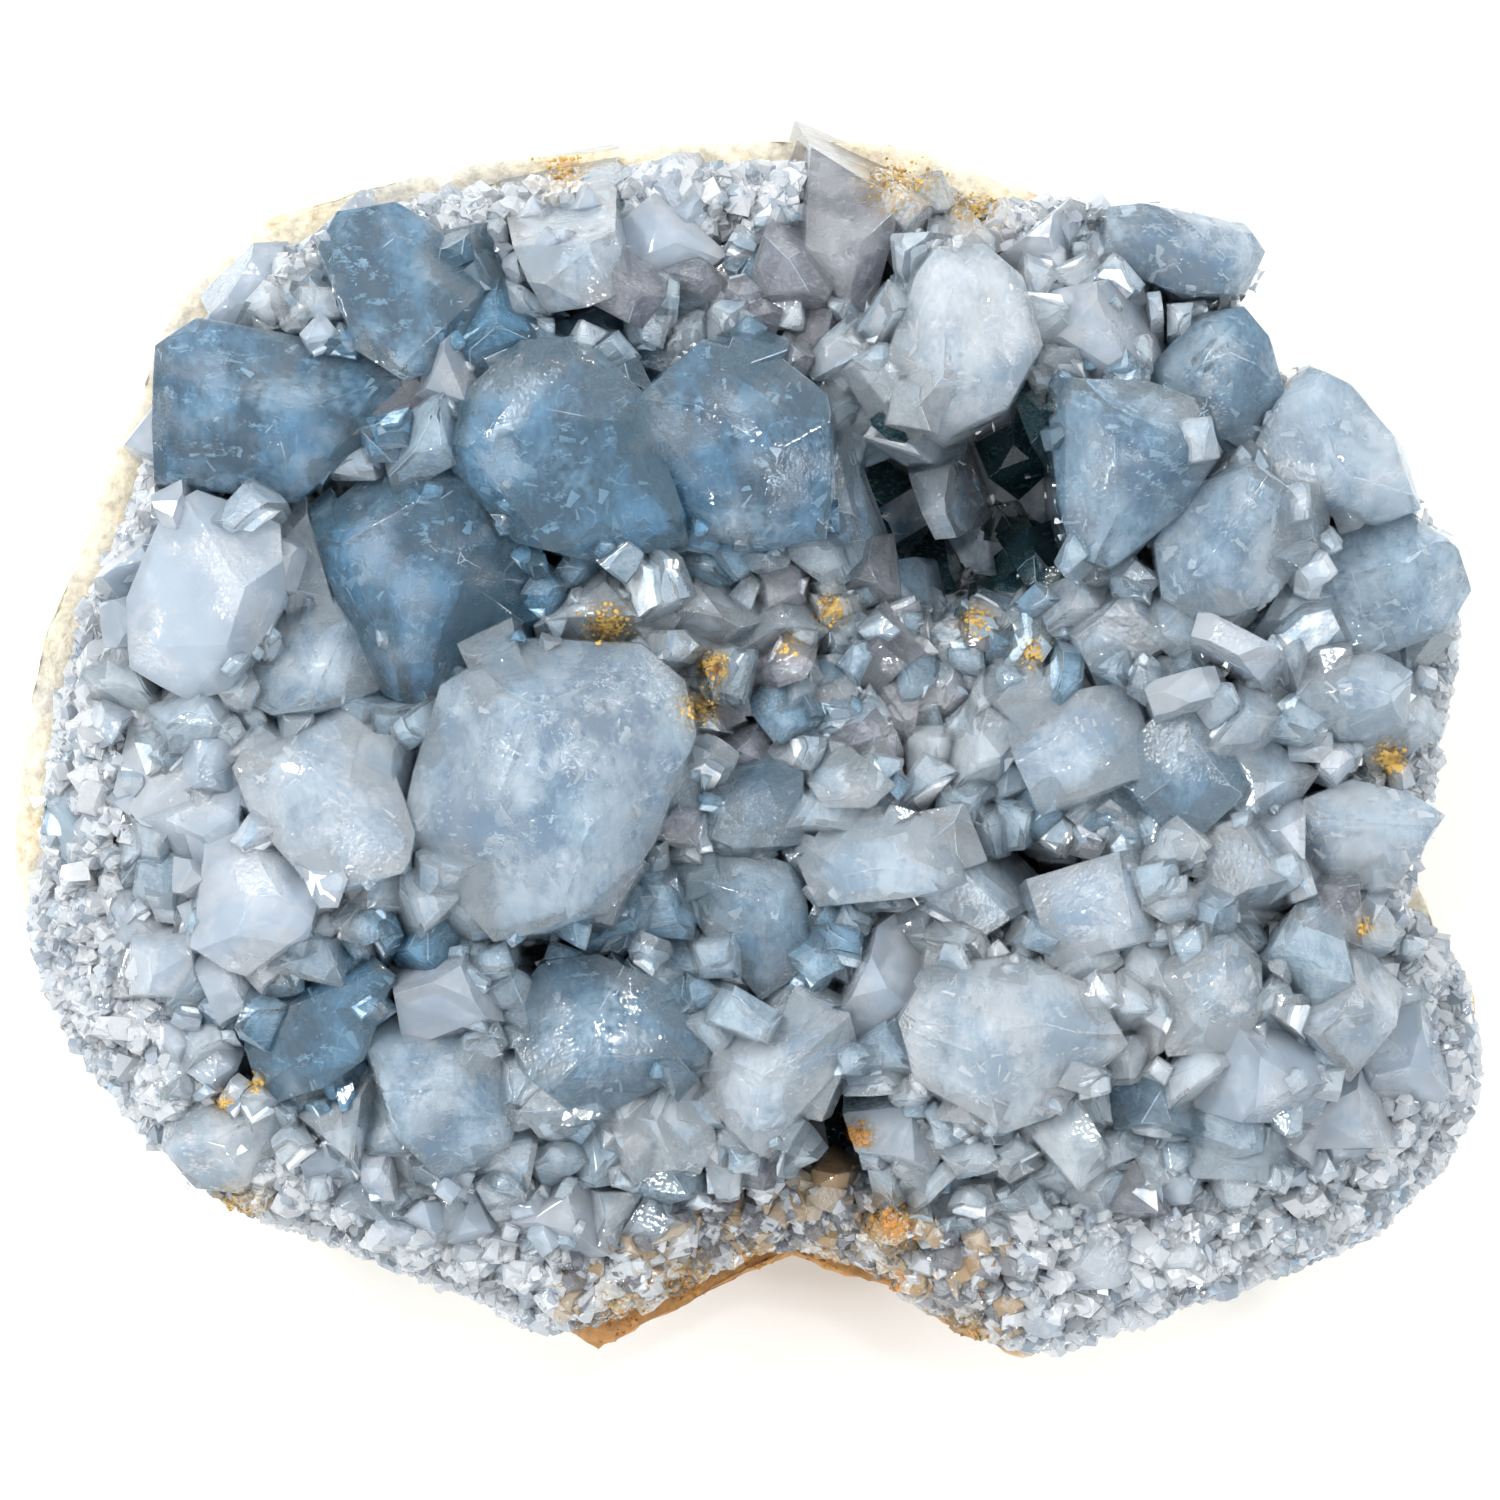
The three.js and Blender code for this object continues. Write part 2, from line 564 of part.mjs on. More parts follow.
function bowl(profile, sectors, shape) {
  const turned = new THREE.LatheGeometry(
    profile.map(([share, z]) => new THREE.Vector2(share, z)),
    sectors,
    Math.PI / 2,
  );
  turned.rotateX(Math.PI / 2);
  const at = turned.attributes.position;
  for (let i = 0; i < at.count; i += 1) {
    const share = Math.hypot(at.getX(i), at.getY(i));
    const turn = share > 1e-6 ? Math.atan2(at.getY(i), at.getX(i)) / TAU : 0;
    const sector = (Math.round(turn * sectors) + sectors) % sectors;
    const angle = (sector / sectors) * TAU;
    const [reach, z] = shape(share, angle, at.getZ(i), sector);
    const radius = reach * outlineRadius(angle);
    at.setXYZ(i, radius * Math.cos(angle), radius * Math.sin(angle), z);
  }
  return solidFrom(turned);
}

// Everything below the seam, moved up or down by shift

function underSeam(shift) {
  const steps = [...SEAM_RINGS].reverse().map((share) => [share, 0]);
  const profile = [[0, -LENGTH], [REACH, -LENGTH], ...steps];
  return bowl(profile, SEAM_SECTORS, (share, angle, z) => [
    share,
    z < -1 ? z : seamHeight(share, angle) + shift,
  ]);
}

// The rock: a flat underside, a wall that climbs to the rim, lumpy where it is broken

function rockBody() {
  const cover = 3; // rim heights up, well past the seam that it is cut off along
  const profile = [...WALL_PROFILE, [1, cover], [0, cover]];
  return bowl(profile, ROCK_SECTORS, (share, angle, level, sector) => {
    const onWall = level > 0.01 && level < 1;
    if (!onWall) return [share, level * rimTop(angle)];
    const broken = THREE.MathUtils.lerp(1, ROCK_LUMP.whole, wholeRind(angle));
    const lump = astray(0.5, sector * 7.3 + share * 91) * broken;
    return [share + lump * ROCK_LUMP.out, level * rimTop(angle) + lump * ROCK_LUMP.up];
  });
}

// The corners of the convex solid that planes bound, each plane a normal and a distance. Corners
// nearer to each other than a fiftieth of a millimetre are one.

function cornersOf(planes) {
  const corners = [];
  const point = new THREE.Vector3();
  const matrix = new THREE.Matrix3();
  for (let i = 0; i < planes.length; i += 1) {
    for (let j = i + 1; j < planes.length; j += 1) {
      for (let k = j + 1; k < planes.length; k += 1) {
        const three = [planes[i], planes[j], planes[k]];
        matrix.set(...three.flatMap(({ normal }) => normal.toArray()));
        if (Math.abs(matrix.determinant()) > 1e-4) {
          point.set(...three.map(({ reach }) => reach)).applyMatrix3(matrix.invert());
          const inside = planes.every(({ normal, reach }) => normal.dot(point) < reach + 1e-4);
          const known = corners.some((corner) => corner.distanceTo(point) < 0.02);
          if (inside && !known) corners.push(point.clone());
        }
      }
    }
  }
  return corners;
}

function face(azimuth, slope, x, y, z) {
  const out = Math.sin(radians(slope));
  const normal = new THREE.Vector3(
    out * Math.cos(radians(azimuth)),
    out * Math.sin(radians(azimuth)),
    Math.cos(radians(slope)),
  );
  return { normal, reach: normal.dot(new THREE.Vector3(x, y, z)) };
}

function seamUnder(x, y) {
  const angle = Math.atan2(y, x);
  return seamHeight(Math.min(Math.hypot(x, y) / outlineRadius(angle), 1), angle);
}

// A large crystal: a prism face and an end face on each side of its outline, and a flat top

function middleOf(outline) {
  const sum = outline.reduce(([sx, sy], [x, y]) => [sx + x, sy + y], [0, 0]);
  return sum.map((total) => total / outline.length);
}

function largeCrystal({ top, rise, tilt, toward, outline }, number) {
  const shoulder = top - rise;
  const [cx, cy] = middleOf(outline);
  const planes = [face(0, 180, 0, 0, seamUnder(cx, cy) - ROOT)];
  planes.push(face(toward, tilt, cx, cy, top));
  outline.forEach(([x, y], side) => {
    const [nextX, nextY] = outline[(side + 1) % outline.length];
    const azimuth = THREE.MathUtils.radToDeg(Math.atan2(x - nextX, nextY - y));
    const seed = (number + 1) * 31 + side;
    const [px, py] = [cx + (x - cx) * GROWTH, cy + (y - cy) * GROWTH];
    planes.push(face(azimuth, 90 - DRAFT * scatter(seed), px, py, shoulder));
    const slope = between([GENTLE, STEEP], seed + 0.5);
    if (slope < BARE) planes.push(face(azimuth, slope, px, py, shoulder));
  });
  return solidFrom(new ConvexGeometry(cornersOf(planes)));
}

function onEllipse(azimuth, width, breadth) {
  return [Math.cos(radians(azimuth)) * width * 0.5, Math.sin(radians(azimuth)) * breadth * 0.5];
}

// A small crystal, made upright about its tip and then turned, leaned and set in place

function smallCrystal([x, y, top, width, breadth, turn, lean, toward, flat], number) {
  const seed = 2000 + number * 23;
  const length = (top - seamUnder(x, y) + ROOT) / Math.cos(radians(lean));
  const planes = [
    face(0, 180, 0, 0, -length),
    face(scatter(seed) * 360, between(TOP_SLOPE, seed + 1), 0, 0, 0),
  ];
  for (let side = 0; side < PRISM_SIDES; side += 1) {
    const azimuth = (side / PRISM_SIDES) * 360 + astray(STRAY, seed + 2 + side);
    const [px, py] = onEllipse(azimuth, width, breadth);
    planes.push(face(azimuth, 90 - DRAFT * scatter(seed + 8 + side), px, py, -width * SHOULDER));
  }
  for (let end = 0; end < END_FACES; end += 1) {
    const azimuth = (end / END_FACES) * 360 + astray(2 * STRAY, seed + 14 + end);
    const [px, py] = onEllipse(azimuth, width * flat, breadth * flat);
    planes.push(face(azimuth, between([GENTLE, STEEP], seed + 19 + end), px, py, 0));
  }
  const tilted = new THREE.Matrix4().makeRotationAxis(
    new THREE.Vector3(-Math.sin(radians(toward)), Math.cos(radians(toward)), 0),
    radians(lean),
  );
  const place = new THREE.Matrix4().makeTranslation(x, y, top)
    .multiply(tilted)
    .multiply(new THREE.Matrix4().makeRotationZ(radians(turn)));
  return solidFrom(new ConvexGeometry(cornersOf(planes).map((corner) => corner.applyMatrix4(place))));
}

// Rows of druse follow the rim, the outer one smaller, where no larger crystal stands

function rimDruse() {
  const grown = [];
  RIM_DRUSE.rows.forEach((row, number) => {
    const count = Math.round((TAU * LENGTH * 0.44 * row) / RIM_DRUSE.pitch);
    for (let step = 0; step < count; step += 1) {
      const seed = 15000 + number * 1201 + step * 17;
      const angle = ((step + astray(0.3, seed)) / count) * TAU;
      const share = row * (1 - RIND_WIDTH * wholeRind(angle)) + astray(0.012, seed + 1);
      const [x, y] = [Math.cos(angle), Math.sin(angle)].map((v) => v * share * outlineRadius(angle));
      const width = between(RIM_DRUSE.width, seed + 2) - number * RIM_DRUSE.taper;
      if (!covered(x, y)) grown.push(druseCrystal(x, y, width, seed));
    }
  });
  return grown;
}

function druseCrystal(x, y, width, seed) {
  const angle = Math.atan2(y, x);
  const outer = smoothstep(Math.hypot(x, y) / outlineRadius(angle), 0.72, 1);
  const top = crustTop(x, y) + between(RIM_DRUSE.stand, seed + 3) + RIM_DRUSE.inward * (1 - outer);
  const breadth = width * between(RIM_DRUSE.breadth, seed + 4);
  const turn = 180 * scatter(seed + 5);
  const lean = between(RIM_DRUSE.lean, seed + 6) + RIM_DRUSE.outward * outer;
  const toward = THREE.MathUtils.radToDeg(angle) + astray(RIM_DRUSE.wander, seed + 7) * (1.4 - outer);
  return [x, y, top, width, breadth, turn, lean, toward, between(RIM_DRUSE.flat, seed + 8)];
}

function insideOutline(outline, x, y) {
  return outline.every(([ax, ay], side) => {
    const [bx, by] = outline[(side + 1) % outline.length];
    return (bx - ax) * (y - ay) - (by - ay) * (x - ax) > 0;
  });
}

function covered(x, y) {
  const near = ([cx, cy, , width, breadth]) => Math.hypot(x - cx, y - cy) < (width + breadth) * 0.22;
  return LARGE_CRYSTALS.some(({ outline }) => insideOutline(outline, x, y)) || SMALL_CRYSTALS.some(near);
}

// The crust that the crystals stand in: thicker towards the middle, sunk where a hollow is

function crustTop(x, y) {
  const angle = Math.atan2(y, x);
  const share = Math.hypot(x, y) / outlineRadius(angle);
  const filled = seamHeight(share, angle) + CRUST + CRUST_SWELL * (1 - smoothstep(share, 0.5, 0.95));
  return HOLLOWS.reduce((height, [cx, cy, radius]) => {
    const near = 1 - smoothstep(Math.hypot(x - cx, y - cy), radius * 0.7, radius * 1.5);
    return height - near * (CRUST_SWELL + CRUST * 0.4);
  }, filled);
}

function crust() {
  const steps = CRUST_RINGS.map((share) => [share, 1]);
  const profile = [[0, -1], [1, -1], ...steps];
  return bowl(profile, CRUST_SECTORS, (share, angle, level, sector) => {
    const reach = share * (1 - RIND_WIDTH * wholeRind(angle));
    if (level < 0) return [reach, 0];
    const radius = reach * outlineRadius(angle);
    const lump = share > 0 ? astray(0.5, sector * 5.7 + share * 37) * CRUST_LUMP : 0;
    return [reach, crustTop(radius * Math.cos(angle), radius * Math.sin(angle)) + lump];
  });
}

// Rock grains stand out of the broken edge

function rockGrains() {
  const grains = [];
  const count = Math.round((TAU * LENGTH * 0.45) / GRAINS.pitch);
  GRAINS.tiers.forEach(([share, level], tier) => {
    for (let step = 0; step < count; step += 1) {
      const seed = 30000 + tier * 977 + step * 11;
      const angle = ((step + astray(0.3, seed)) / count) * TAU;
      const radius = outlineRadius(angle) * (share + astray(0.008, seed + 1));
      const z = rimTop(angle) * level + astray(0.8, seed + 3);
      if (wholeRind(angle) < 0.5 && !onArch(angle)) grains.push(rockGrain(angle, radius, z, seed));
    }
  });
  return grains;
}

function rockGrain(angle, radius, z, seed) {
  const width = between(GRAINS.width, seed + 2);
  const breadth = width * between(GRAINS.breadth, seed + 4);
  const planes = [
    face(0, 180, 0, 0, -width),
    face(scatter(seed) * 360, between(TOP_SLOPE, seed + 5), 0, 0, 0),
  ];
  for (let side = 0; side < GRAINS.sides; side += 1) {
    const azimuth = (side / GRAINS.sides) * 360 + astray(2 * STRAY, seed + 8 + side);
    const [px, py] = onEllipse(azimuth, width, breadth);
    planes.push(face(azimuth, 90 - DRAFT, px, py, -width * SHOULDER));
    const slope = between([GENTLE, STEEP], seed + 12 + side);
    planes.push(face(azimuth + 20, slope, px * SHOULDER, py * SHOULDER, 0));
  }
  const outward = new THREE.Vector3(Math.cos(angle), Math.sin(angle), between(GRAINS.upward, seed + 6));
  const aim = new THREE.Quaternion().setFromUnitVectors(new THREE.Vector3(0, 0, 1), outward.normalize());
  const place = new THREE.Matrix4()
    .makeTranslation(radius * Math.cos(angle), radius * Math.sin(angle), z)
    .multiply(new THREE.Matrix4().makeRotationFromQuaternion(aim))
    .multiply(new THREE.Matrix4().makeRotationZ(Math.PI * scatter(seed + 7)));
  return solidFrom(new ConvexGeometry(cornersOf(planes).map((corner) => corner.applyMatrix4(place))));
}

function onArch(angle) {
  const turn = THREE.MathUtils.radToDeg((angle + TAU) % TAU);
  return turn > ARCH_START && turn < ARCH_END;
}

// The two nodes, cut apart along the seam

const smallOnes = [...SMALL_CRYSTALS, ...rimDruse()];
const grown = [crust(), ...LARGE_CRYSTALS.map(largeCrystal), ...smallOnes.map(smallCrystal)];
const crystals = joined(grown).subtract(underSeam(SEAM / 2));
const rock = joined([rockBody(), ...rockGrains()]).intersect(underSeam(-SEAM / 2));

const PALE_ROCK = new THREE.MeshStandardMaterial({ color: 0xd9d2c4, roughness: 0.85, metalness: 0 });
const CELESTITE = new THREE.MeshStandardMaterial({ color: 0x8fb0c8, roughness: 0.15, metalness: 0 });

function node(name, solid, material) {
  const mesh = new THREE.Mesh(geometryFrom(solid), material);
  mesh.name = name;
  return mesh;
}

const cluster = new THREE.Group();
cluster.add(node('rock_matrix', rock, PALE_ROCK));
cluster.add(node('celestite_crystals', crystals, CELESTITE));

export default cluster;
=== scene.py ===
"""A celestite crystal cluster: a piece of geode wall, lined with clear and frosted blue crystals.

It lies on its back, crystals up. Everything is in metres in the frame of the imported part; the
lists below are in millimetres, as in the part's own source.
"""

import json
import math
import random

import bmesh
import bpy
from mathutils import Matrix, Vector, noise
from mathutils.bvhtree import BVHTree

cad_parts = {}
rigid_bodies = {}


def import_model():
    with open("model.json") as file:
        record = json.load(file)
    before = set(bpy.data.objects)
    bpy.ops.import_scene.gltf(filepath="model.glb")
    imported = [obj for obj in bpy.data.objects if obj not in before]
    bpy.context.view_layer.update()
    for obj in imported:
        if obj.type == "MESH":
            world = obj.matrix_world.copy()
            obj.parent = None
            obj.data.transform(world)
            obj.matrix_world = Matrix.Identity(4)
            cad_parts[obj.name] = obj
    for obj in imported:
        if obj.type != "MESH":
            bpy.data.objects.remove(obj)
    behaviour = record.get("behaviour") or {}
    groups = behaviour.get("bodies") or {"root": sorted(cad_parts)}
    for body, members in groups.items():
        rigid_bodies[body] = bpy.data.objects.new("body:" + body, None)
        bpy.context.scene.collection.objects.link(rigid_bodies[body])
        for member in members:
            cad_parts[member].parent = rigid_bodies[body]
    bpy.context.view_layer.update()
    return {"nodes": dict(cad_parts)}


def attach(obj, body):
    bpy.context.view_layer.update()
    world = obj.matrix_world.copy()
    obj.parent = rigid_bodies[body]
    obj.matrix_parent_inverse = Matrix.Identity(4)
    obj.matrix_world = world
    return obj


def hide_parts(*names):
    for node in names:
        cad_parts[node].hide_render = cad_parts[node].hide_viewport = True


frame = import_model()

bl_info = {
    "name": "Celestite cluster",
    "version": (1, 0, 0),
    "blender": (4, 5, 0),
    "location": "3D View > Sidebar > Celestite",
    "description": "Dresses a piece of geode wall with its rock, crystals, druse and rust",
    "category": "Object",
}

MM = 0.001
TAU = math.tau

# The bowl, as in the part's source: rock under the middle, its rim, and the crust on it

WALL = 8.5
RIM_TOP = 17
RIM_RISE = 3.5
RIM_HIGHEST = 140  # direction in which the rim stands highest
SEAM = 0.35
CRUST = 2.4
CRUST_SWELL = 11
RIND_WIDTH = 0.055
SEAM_WAVES = [(0.7, 3, 5), (0.5, 7, -4)]
RIND_START, RIND_END, RIND_FADE = 68, 186, 10
ARCH_START, ARCH_END = 254, 293
ARCH_WIDTH = 0.045  # how far the crust stands back from the rusty rock there
HOLLOWS = [(14.6, 17.6, 6.6), (-12.4, -13.2, 3.4), (5.8, -24.9, 2.6), (18.0, -8.6, 3.0)]

# What a crystal's vertices carry for its material: its own milkiness, iron oxide, sugary frost

MASKS = ("shade", "stain", "frost")

# Material slots of a crystal: its own clear or frosted finish, and bruised where it is chipped; on the strips along
# its worn edges the pale bruised slot is painted edge highlight as well

CLEAN, BRUISED_AND_HIGHLIT = 0, 1

# How the faces of a crystal lie, in degrees

DRAFT = 4
GENTLE, STEEP, BARE = 27, 72, 54
TOP_SLOPE = (2, 9)
STRAY = 9
SHOULDER = 0.3
GROWTH = 1.05
ROOT = 1.5

# The outline of the rock seen from above, counter-clockwise from the right

OUTLINE = [
    (46.6, 1.5), (47.6, 7.0), (47.2, 13.0), (43.6, 19.0), (39.0, 22.8), (34.6, 25.8),
    (32.2, 30.6), (27.0, 35.2), (19.5, 37.6), (13.6, 39.8), (6.7, 41.0), (-3.4, 41.0),
    (-16.8, 39.7), (-27.5, 37.5), (-34.2, 34.7), (-37.6, 32.2), (-40.3, 26.8), (-42.3, 20.7),
    (-44.6, 14.7), (-47.2, 8.9), (-49.3, 0.6), (-49.9, -5.0), (-48.4, -12.5), (-45.6, -19.2),
    (-41.6, -24.6), (-36.2, -29.6), (-30.4, -32.0), (-24.8, -34.2), (-18.6, -36.8), (-13.6, -39.2),
    (-10.2, -40.2), (-7.0, -38.6), (-3.2, -36.9), (0.4, -35.2), (3.6, -34.7), (7.0, -35.6),
    (11.4, -38.2), (14.6, -40.4), (17.2, -41.4), (22.6, -39.8), (29.0, -37.6), (35.2, -35.4),
    (42.4, -32.6), (47.2, -27.6), (49.4, -21.4), (48.2, -15.4), (44.2, -10.8), (45.4, -5.0),
]

LARGE_CRYSTALS = [
    ("blue", 34, 3.4, 10, 250, [  # the blue block in the upper left corner
        (-22.6, 23.4), (-25.4, 26.4), (-36.4, 28.4), (-39, 26.6), (-39.2, 18), (-30.2, 16.7),
        (-27, 19.4),
    ]),
    ("blue", 33.5, 4.4, 9, 60, [  # the smoky one beside it
        (-16.8, 30.1), (-20.1, 34.2), (-23.5, 36.2), (-27.2, 35.6), (-28.5, 33), (-26.8, 27.1),
        (-22.5, 24.4), (-18.1, 25.8),
    ]),
    ("blue", 35.5, 2.8, 7, 275, [  # the right one of the three great plates
        (5.7, 19.4), (4.8, 23.4), (1.3, 26.2), (-3, 26.8), (-7.4, 23.1), (-7.4, 18.1),
        (-3.4, 14.4), (0.7, 13.5), (4.7, 14.2),
    ]),
    ("blue", 34.2, 2.6, 8, 250, [  # the middle plate
        (-7, 23.1), (-11.1, 27.1), (-15.1, 26.8), (-18.8, 23.4), (-19.5, 18.7), (-15.4, 14),
        (-10.1, 12.7), (-4, 14),
    ]),
    ("blue", 32.4, 3, 9, 235, [  # the left plate
        (-14.4, 10), (-15.4, 14.7), (-19.5, 19.1), (-23.8, 19.1), (-28.9, 15), (-27.2, 10),
        (-24.2, 4), (-20.8, 2.5), (-18.1, 6.3),
    ]),
    ("deep", 30.2, 2.4, 12, 80, [  # the notch between two plates
        (-3, 25.1), (-3.4, 29.5), (-8.4, 29.9), (-12.8, 28.8), (-13.8, 27.2), (-10, 24.6),
        (-6.7, 23.4),
    ]),
    ("white", 34.6, 3.4, 10, 200, [  # the pale glossy one at the left
        (-30.9, 10), (-31.4, 15), (-36.6, 16.9), (-38.7, 15.7), (-41.1, 10), (-40.9, 5.6),
        (-37.2, 3.6), (-33.9, 4.3),
    ]),
    ("soft", 32.6, 3.6, 12, 110, [  # the small roof below the left plate
        (-24.5, 4), (-25.2, 7.3), (-27.2, 10), (-30.2, 9.6), (-33.6, 6.3), (-34.2, 3.8),
        (-30.2, 1.8),
    ]),
    ("pale", 34.6, 3, 9, 150, [  # the frosted rhomb left of the centre
        (-22.3, -5.4), (-24.5, 0.6), (-27.2, 2.5), (-32.8, 0.7), (-34, -1.3), (-33.4, -3.8),
        (-29.5, -8.3), (-27.2, -9.3), (-22.7, -7.9),
    ]),
    ("frosted", 33.6, 3, 13, 225, [  # the white one below it
        (-28.5, -9.3), (-30.2, -7.1), (-33.9, -4.8), (-36.6, -5.8), (-37.4, -13.5), (-32.6, -15),
        (-29.5, -13.2),
    ]),
    ("white", 29, 3, 15, 185, [  # the pale lavender one at the left edge
        (-33.9, -2.8), (-33.9, 1.6), (-36.9, 3.3), (-40.9, 3.3), (-42.3, -2.8), (-40.3, -5.1),
        (-36.9, -4.6),
    ]),
    ("soft", 23.6, 2, 22, 180, [  # the grey lens on the rim
        (-43, -7.4), (-43.6, -2.1), (-46.6, -1.9), (-47.8, -3.6), (-47, -7.4), (-44.6, -9.5),
    ]),
    ("clear", 24.2, 2.8, 18, 195, [  # a pale one on the left rim
        (-37.6, -13.5), (-39.6, -8.8), (-45, -10.1), (-45.3, -13.5), (-43.6, -16.8), (-38.9, -16.8),
    ]),
    ("soft", 38, 5, 5, 300, [  # the largest, the one that stands proudest
        (-4, 0.9), (-4.7, 4.3), (-7.4, 6.6), (-15.4, 7), (-20.1, 4), (-21.8, -1.4),
        (-22.7, -5.4), (-16.8, -12.1), (-10.1, -11.1), (-6.7, -6.1),
    ]),
    ("blue", 29.8, 3.4, 12, 210, [  # the deep blue one with the sharp point
        (-23.6, -15.2), (-26.2, -12.8), (-29.5, -13.8), (-32.8, -15.8), (-33.6, -20.2), (-31.9, -23.4),
        (-27.9, -22.2), (-25.6, -20.5),
    ]),
    ("soft", 32.4, 4, 9, 255, [  # the green-blue one
        (-15.4, -23.6), (-16.4, -17.5), (-21.5, -17.4), (-25, -18.2), (-25.4, -20.2), (-23.8, -25.2),
        (-20.5, -28.4), (-16.4, -26.9),
    ]),
    ("mid", 33.6, 4.6, 7, 310, [  # the round-shouldered one at the lower middle
        (-2.8, -19.4), (-6, -15.5), (-10.1, -13.8), (-13.8, -14.5), (-15.8, -17.2), (-15.3, -20.9),
        (-10.7, -24.6), (-7.4, -22.9), (-3.4, -21),
    ]),
    ("clear", 30.4, 3, 11, 240, [  # the pale one below it
        (-2, -25.6), (-3.4, -21.4), (-6.7, -22.2), (-8.9, -24.4), (-7.4, -27.9), (-3.4, -28.1),
    ]),
    ("pale", 31.6, 3, 10, 130, [  # the slanting block above the small hole
        (7, -20.2), (6.5, -17.5), (2.7, -16.8), (-2, -19.5), (-3, -21.9), (-1.6, -25.6),
        (1.2, -26.9), (3.6, -24.2),
    ]),
    ("clear", 26.6, 3, 16, 220, [  # one on the lower left rim
        (-30.9, -27.2), (-31.2, -24.9), (-34.9, -21.5), (-38.6, -22.9), (-39.2, -26.6), (-37, -29.2),
        (-33.6, -29.6),
    ]),
    ("clear", 37.2, 4.6, 12, 262, [  # the overhanging one at the top of the pocket
        (19.1, 26.8), (17.8, 31.1), (15.4, 33.2), (12.4, 33), (9.9, 29.8), (8.7, 24.4),
        (9.4, 22.6), (12.8, 21), (16.8, 22.8),
    ]),
    ("soft", 30.4, 3.4, 16, 310, [  # the upper right corner, with the free tip
        (34.1, 33.2), (32.9, 35), (26.8, 36.2), (24, 36), (23.8, 32.7), (28.9, 30.3),
        (32.9, 30.6),
    ]),
    ("mid", 31.4, 3.6, 14, 60, [  # the blue one under the corner
        (35.4, 23.7), (34.4, 27.4), (32.8, 29.3), (29.9, 28.9), (26.8, 25.4), (26.8, 21.7),
        (31.9, 19.6),
    ]),
    ("mid", 34.8, 2.8, 7, 200, [  # the clear block right of the pocket
        (31, 19.7), (29.2, 23.1), (26.2, 24.2), (20.8, 24.4), (20, 23.2), (20.6, 16.7),
        (21.5, 13), (24.2, 12.3), (28.9, 16.4),
    ]),
    ("pale", 32.4, 4, 17, 75, [  # the one that points up at the right
        (44.4, 16.2), (43.3, 20.1), (39.9, 24.1), (37.2, 25.4), (34.4, 22.4), (32.9, 19.3),
        (36.9, 16), (41.6, 15.2),
    ]),
    ("soft", 34.6, 3.4, 9, 310, [  # the long pale one
        (37.6, 14), (36.2, 16.7), (32.6, 19.3), (28.9, 16.7), (27, 13.7), (27.5, 10.3),
        (30.2, 8.5), (34.4, 10),
    ]),
    ("soft", 29.4, 3.4, 15, 0, [  # the blue one on the right rim
        (47.9, 10.7), (46.8, 13.7), (43.6, 15.7), (38.9, 14.7), (36.2, 10.7), (37.6, 7),
        (41.6, 6.3), (46.3, 8),
    ]),
    ("pale", 28.8, 3, 13, 340, [  # a pale one below it
        (44.3, 5), (41.6, 6.6), (36.9, 6), (36.2, 1.9), (39.6, -0.4), (43.6, 0.6),
    ]),
    ("pale", 27.8, 3, 14, 350, [  # the pale one above the notch in the right edge
        (46.2, -4.4), (44, -3), (40.3, -2.1), (36.9, -3.4), (36.6, -6.8), (39.6, -9.5),
        (43.4, -8.6),
    ]),
    ("clear", 35.2, 4.4, 6, 285, [  # the pale dome at the lower right
        (24.7, -19.5), (22.5, -15.8), (17.4, -13.8), (12.1, -14.3), (10.1, -17.9), (11.4, -22.6),
        (16.1, -25.4), (19.8, -24.1),
    ]),
    ("clear", 31.8, 3.4, 9, 320, [  # the frosted one right of the dome
        (33.9, -17.5), (33.9, -14.2), (31.2, -12), (28.9, -12.5), (26.2, -15.8), (27.9, -20.2),
        (32.2, -19.9),
    ]),
    ("pale", 31.6, 2.6, 10, 275, [  # the pale arch-shaped one in the middle
        (14.4, -9.3), (13.8, -7.5), (12.1, -4.8), (8.7, -3.8), (5.4, -4.6), (3.4, -7.4),
        (4.7, -10.3),
    ]),
    ("clear", 30.4, 2, 11, 110, [  # the small one behind it
        (9.7, -2.4), (6.7, 0.1), (4.4, 0.1), (3.2, -0.7), (4.7, -3.8), (8.7, -3.8),
    ]),
    ("mid", 29.6, 3, 12, 320, [  # the blue one right of the largest
        (3.4, -6.1), (3.4, -1.4), (0.7, -0.1), (-3.4, -1.4), (-4.7, -5.4), (-0.7, -7.4),
    ]),
    ("mid", 30.8, 2.6, 16, 10, [  # the striated plates below it
        (4, -14.2), (3.4, -8.1), (0, -6.8), (-4.4, -7.4), (-3.4, -11.5), (0.7, -16.4),
    ]),
]

